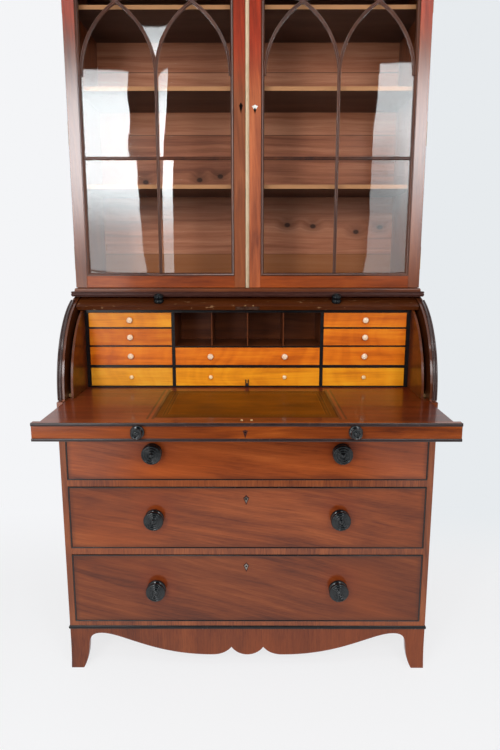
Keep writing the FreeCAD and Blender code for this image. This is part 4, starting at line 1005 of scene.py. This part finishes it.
# Glazed doors: flat frame, a dark ovolo rim round the glass, and reeded bars that cross in pointed arches
doorMade = {
    "rim": 9 * mm,
    "rimProfile": np.vstack([[(0, 0), (9, 0), (9, 19.2), (8.5, 19.2), (8.3, 18.0), (7.7, 18.0)],
                             arc((7.6, 12.4), 6.6, 90, 180, 9, 6.4), [(0.9, 12.0), (0, 12.0)]]) * mm,
    "barProfile": np.vstack([[(4.5, 0), (4.5, 1.8), (3.5, 2.2)], arc((1.95, 4.5), 1.95, -50, 168, 13, 2.5),
                             arc((-1.95, 4.5), 1.95, 12, 230, 13, 2.5),
                             [(-3.5, 2.2), (-4.5, 1.8), (-4.5, 0)]]) * mm,
    "hingeHalf": 32 * mm, "hingeRadius": 2 * mm, "hingeInset": 83 * mm, "knuckles": 5, "knuckleGap": 0.5 * mm,
    "hingeBack": 0.5 * mm, "leaf": 1.5 * mm, "leafSoft": 0.2 * mm,
    "lockLow": 453.5 * mm, "lockHigh": 513.5 * mm, "lockNear": 14 * mm, "lockFar": 34 * mm,
    "stripDeep": 18.5 * mm, "stripCrown": 2.6 * mm, "keyProud": 0.4 * mm,
}
# key plates of the doors: x, z, finishes and slot
doorKeys = {"left": (-17.5 * mm, 1549.5 * mm, "void steel void", "ebonised"),
            "right": (20.5 * mm, 1551.0 * mm, "brightSteel void void", "brass")}


# stiles and rails are soft-edged boards, and the rim is carried round the glass
def doorFrame(side, sign):
    look = doorMade
    low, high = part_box(f"door_{side}_frame")
    openLow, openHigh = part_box(f"door_{side}_glass")
    left, right = openLow.x - look["rim"], openHigh.x + look["rim"]
    under, over = openLow.z - look["rim"], openHigh.z + look["rim"]
    path = roundFour(openLow.x, openHigh.x, openLow.z, openHigh.z, high.y)
    stiles = (3, 4) if sign > 0 else (4, 0)
    parts = [slab(low, (left, high.y, high.z), stiles[0]), slab((right, low.y, low.z), high, stiles[1]),
             slab((left, low.y, low.z), (right, high.y, under), 1),
             slab((left, low.y, over), (right, high.y, high.z), 1),
             carry(path, look["rimProfile"], forward, True, 2)]
    looks = f"doorUpright doorLong barGrain doorBright outer{side.title()}"
    piece(f"door_{side}_joined_frame", parts, looks, f"door_{side}", [f"door_{side}_frame"])


# arcs: x = centre - heading * radius * cos t, z = spring + radius * sin t, up to where they meet
def doorBars(side):
    look = doorMade
    low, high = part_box(f"door_{side}_bars")
    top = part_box(f"door_{side}_glass")[1].z
    column, reach = (low.x + high.x) / 2, (high.x - low.x) / 2
    radius = reach + archMore
    spring, cross = top - archClear - radius, low.z + barCross
    paths = [[(column, high.y, low.z), (column, high.y, spring)],
             [(low.x, high.y, cross), (high.x, high.y, cross)]]
    t = np.linspace(0.0, math.acos(archMore / radius), 40)
    for start, heading in ((low.x, 1), (column, 1), (column, -1), (high.x, -1)):
        x = start + heading * radius * (1.0 - np.cos(t))
        paths.append(np.column_stack([x, np.full(len(t), high.y), spring + radius * np.sin(t)]))
    parts = [carry(path, look["barProfile"], forward) for path in paths]
    piece(f"door_{side}_reeded_bars", parts, "barGrain", f"door_{side}", [f"door_{side}_bars"])


# three hinges with knuckles, the lock, and on the right door the rounded meeting strip
def doorMetal(side, sign):
    look = doorMade
    low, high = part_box(f"door_{side}_brass")
    frameLow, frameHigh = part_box(f"door_{side}_frame")
    radius, half, gap = look["hingeRadius"], look["hingeHalf"], look["knuckleGap"]
    hingeX = low.x + radius if sign < 0 else high.x - radius
    doorX = frameLow.x if sign < 0 else frameHigh.x
    knuckle = 2 * half / look["knuckles"]
    line = [(0.0, 0.0)]
    for k in range(look["knuckles"]):
        foot = k * knuckle
        line += [(radius * 0.8, foot), (radius, foot + gap), (radius, foot + knuckle - gap),
                 (radius * 0.8, foot + knuckle)]
    line.append((0.0, 2 * half))
    parts = []
    middle = (frameLow.z + frameHigh.z) / 2
    for height in (frameLow.z + look["hingeInset"], middle, frameHigh.z - look["hingeInset"]):
        parts.append(turn((hingeX, frameHigh.y + look["hingeBack"], height - half), upward, line, 20))
        parts.append(slab((min(doorX, hingeX), frameHigh.y - look["leaf"], height - half),
                          (max(doorX, hingeX), frameHigh.y, height + half), 0, look["leafSoft"]))
    near, far = sorted((sign * look["lockNear"], sign * look["lockFar"]))
    parts.append(slab((near, frameHigh.y, frameLow.z + look["lockLow"]),
                      (far, high.y, frameLow.z + look["lockHigh"])))
    if sign > 0:
        start, half = (low.x + frameLow.x) / 2, (frameLow.x - low.x) / 2
        deep, crown = look["stripDeep"], look["stripCrown"]
        strip = np.vstack([[(-half, 0), (half, 0), (half, deep - crown)],
                           arc((0, deep - crown), half * 0.9, 0, 180, 15, crown), [(-half, deep - crown)]])
        path = [(start, low.y + deep, frameLow.z), (start, low.y + deep, frameHigh.z)]
        parts.append(carry(path, strip, forward, False, 1))
    piece(f"door_{side}_metal", parts, "brass paleBrass", f"door_{side}", [f"door_{side}_brass"])


for side, sign in (("left", -1), ("right", 1)):
    doorFrame(side, sign)
    doorBars(side)
    doorMetal(side, sign)
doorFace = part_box("door_left_frame")[0].y
for side, (keyX, keyZ, looks, slot) in doorKeys.items():
    parts = keyPlate(f"door{side.title()}", keyX, keyZ, doorFace, doorMade["keyProud"])
    piece(f"door_{side}_keyhole", parts, looks, f"door_{side}")
print("doors made")

# Stage, light and camera
room = {
    "left": -5.0, "right": 5.0, "front": -3.2, "wall": 2.6, "bend": 1.2, "height": 5.0,
    "floorGlow": (0.985, 0.990, 1.0), "paleLeft": (0.905, 0.912, 0.930), "paleRight": (0.800, 0.830, 0.855),
    "matte": (0.86, 0.86, 0.87), "lampTint": (0.93, 0.97, 1.0), "skyTint": (0.96, 0.98, 1.0),
    "skyLight": 0.28, "skySeen": 0.88,
}


# a plain smooth mesh that belongs to the stage
def stageMesh(name, points, faces, material):
    mesh = bpy.data.meshes.new(name)
    mesh.from_pydata(np.asarray(points).reshape(-1, 3).tolist(), [], faces)
    mesh.polygons.foreach_set("use_smooth", [True] * len(mesh.polygons))
    mesh.materials.append(material)
    sheet = bpy.data.objects.new(name, mesh)
    bpy.context.scene.collection.objects.link(sheet)
    return sheet


# pale paper that glows for the rays that see it and stays matte for the light, so shadows keep
def paperWhite():
    shade = Shade("studio_paper")
    x, y, z = shade.place()
    tint = shade.blend(shade.fade(x, -0.9, 0.9), room["paleLeft"], room["paleRight"])
    far = shade.fade(y, 0.2, 1.0)
    tint = shade.blend(far, room["floorGlow"], tint)
    matte = shade.surface(Base_Color=(*room["matte"], 1.0), Roughness=0.9, Specular_IOR_Level=0.1)
    glow = shade.node("ShaderNodeEmission", {}, {"Color": tint, "Strength": 1.0})
    share = shade.seen() * (0.76 + far * 0.24)
    return shade.finish(shade.mix(share, matte, glow))


# floor, a quarter-round bend and a wall, as one sheet carried from left to right
bend = arc((room["wall"] - room["bend"], room["bend"]), room["bend"], -90, 0, 16)
line = np.vstack([[(room["front"], 0.0)], bend, [(room["wall"], room["height"])]])
sheet = np.stack([np.column_stack([np.full(len(line), x), line]) for x in (room["left"], room["right"])])
stageMesh("studio_sheet", sheet, gridFaces(2, len(line), False, False), paperWhite())
cloth, softCloth = matteDark("studio_dark", 0.012), matteDark("studio_dark_soft", 0.012, 0.48, 0.86)
flags = {
    "flag_behind_camera": ((-1.6, -2.75, 0.0), (1.6, -2.75, 0.0), (1.6, -2.75, 4.0), (-1.6, -2.75, 4.0)),
    "flag_on_floor": ((-0.9, -2.75, 0.002), (0.9, -2.75, 0.002), (0.9, -1.55, 0.002), (-0.9, -1.55, 0.002)),
}
for name, corners in flags.items():
    look = softCloth if "floor" in name else cloth
    stageMesh(name, corners, [[0, 1, 2, 3]], look).visible_camera = False


# the left lamp dims towards its foot, and a little towards its top, which ends on a slant
def leftShare(shade, x, z):
    skew = z - (x + 0.85) * 0.09
    top = (1.0 - shade.fade(skew, 2.12, 2.29) * 0.45) * (1.0 - shade.fade(skew, 2.305, 2.32))
    return (0.26 + shade.fade(z, 1.22, 1.66) * 0.74) * top


# the right lamp is dim but for its upper end and a bright spot, exp(-(x / 0.16)^2 - (z / 0.30)^2) about it
def rightShare(shade, x, z):
    side, rise = (x - 1.15) / 0.16, (z - 1.85) / 0.30
    spot = shade.maths("EXPONENT", (side * side + rise * rise) * -1.0)
    veil = 0.18 + shade.fade(z, 1.10, 1.70) * 0.08 + shade.fade(z, 1.75, 2.00) * 0.29
    skew = z + (x - 0.85) * 0.13
    return (veil + (1.0 - veil) * spot) * (1.0 - shade.fade(skew, 2.315, 2.33))


lamps = {
    "panel_left": {"at": (-1.07, -2.40, 1.67), "aim": (-0.1, 0.1, 1.3), "size": (0.50, 1.34), "power": 24.5,
                   "share": leftShare},
    "panel_left_low": {"at": (-1.12, -2.40, 0.60), "aim": (-0.1, 0.1, 0.7), "size": (0.60, 0.80),
                       "power": 6.0},
    "panel_right": {"at": (1.05, -2.40, 1.67), "aim": (0.1, 0.1, 1.3), "size": (0.50, 1.34), "power": 22.5,
                    "share": rightShare},
    "panel_front": {"at": (0.0, -2.60, 1.65), "aim": (0.0, 0.0, 1.05), "size": (2.4, 1.8), "power": 44.0,
                    "mirrored": False},
    "panel_top_left": {"at": (-0.85, -1.5, 2.9), "aim": (-0.1, 0.0, 0.8), "size": (0.5, 0.6), "power": 6.0},
    "panel_top_right": {"at": (0.85, -1.5, 2.9), "aim": (0.1, 0.0, 0.8), "size": (0.5, 0.6), "power": 6.0},
}
for name, lamp in lamps.items():
    light = bpy.data.lights.new(name, "AREA")
    light.shape = "RECTANGLE"
    light.size, light.size_y = lamp["size"]
    light.energy = lamp["power"]
    if "share" in lamp:
        shade = Shade(name, light)
        where = shade.node("ShaderNodeNewGeometry", {}, {}, "Position")
        x, y, z = (shade.node("ShaderNodeSeparateXYZ", {}, {"Vector": where}, axis) for axis in "XYZ")
        glow = shade.node("ShaderNodeEmission", {}, {"Color": (*room["lampTint"], 1.0),
                                                     "Strength": lamp["share"](shade, x, z)})
        shade.finish(glow, "ShaderNodeOutputLight")
    holder = bpy.data.objects.new(name, light)
    holder.location = lamp["at"]
    holder.visible_glossy = lamp.get("mirrored", True)
    gaze = np.asarray(lamp["aim"]) - np.asarray(lamp["at"])
    level = math.hypot(gaze[0], gaze[1])
    holder.rotation_euler = (math.atan2(level, -gaze[2]), 0.0, math.atan2(-gaze[0], gaze[1]))
    bpy.context.scene.collection.objects.link(holder)

world = bpy.data.worlds.new("room")
bpy.context.scene.world = world
sky = Shade("room", world)
dim, pale = (sky.node("ShaderNodeBackground", {}, {"Color": (*room["skyTint"], 1.0), "Strength": room[key]})
             for key in ("skyLight", "skySeen"))
sky.finish(sky.mix(sky.seen(), dim, pale), "ShaderNodeOutputWorld")

view = {"at": (0.0114, -1.7340, 1.1606), "tiltDown": 11.01, "turn": 0.139, "focalPixels": 620.5,
        "imageHeight": 750, "sensor": 36.0}
camera = bpy.data.cameras.new("camera")
camera.sensor_width = view["sensor"]
camera.lens = view["focalPixels"] * camera.sensor_width / view["imageHeight"]
eye = bpy.data.objects.new("camera", camera)
eye.location = view["at"]
eye.rotation_euler = (math.radians(90.0 - view["tiltDown"]), 0.0, math.radians(view["turn"]))
bpy.context.scene.collection.objects.link(eye)
bpy.context.scene.camera = eye
bpy.context.scene.view_settings.view_transform = "Standard"
print("stage, light and camera set")
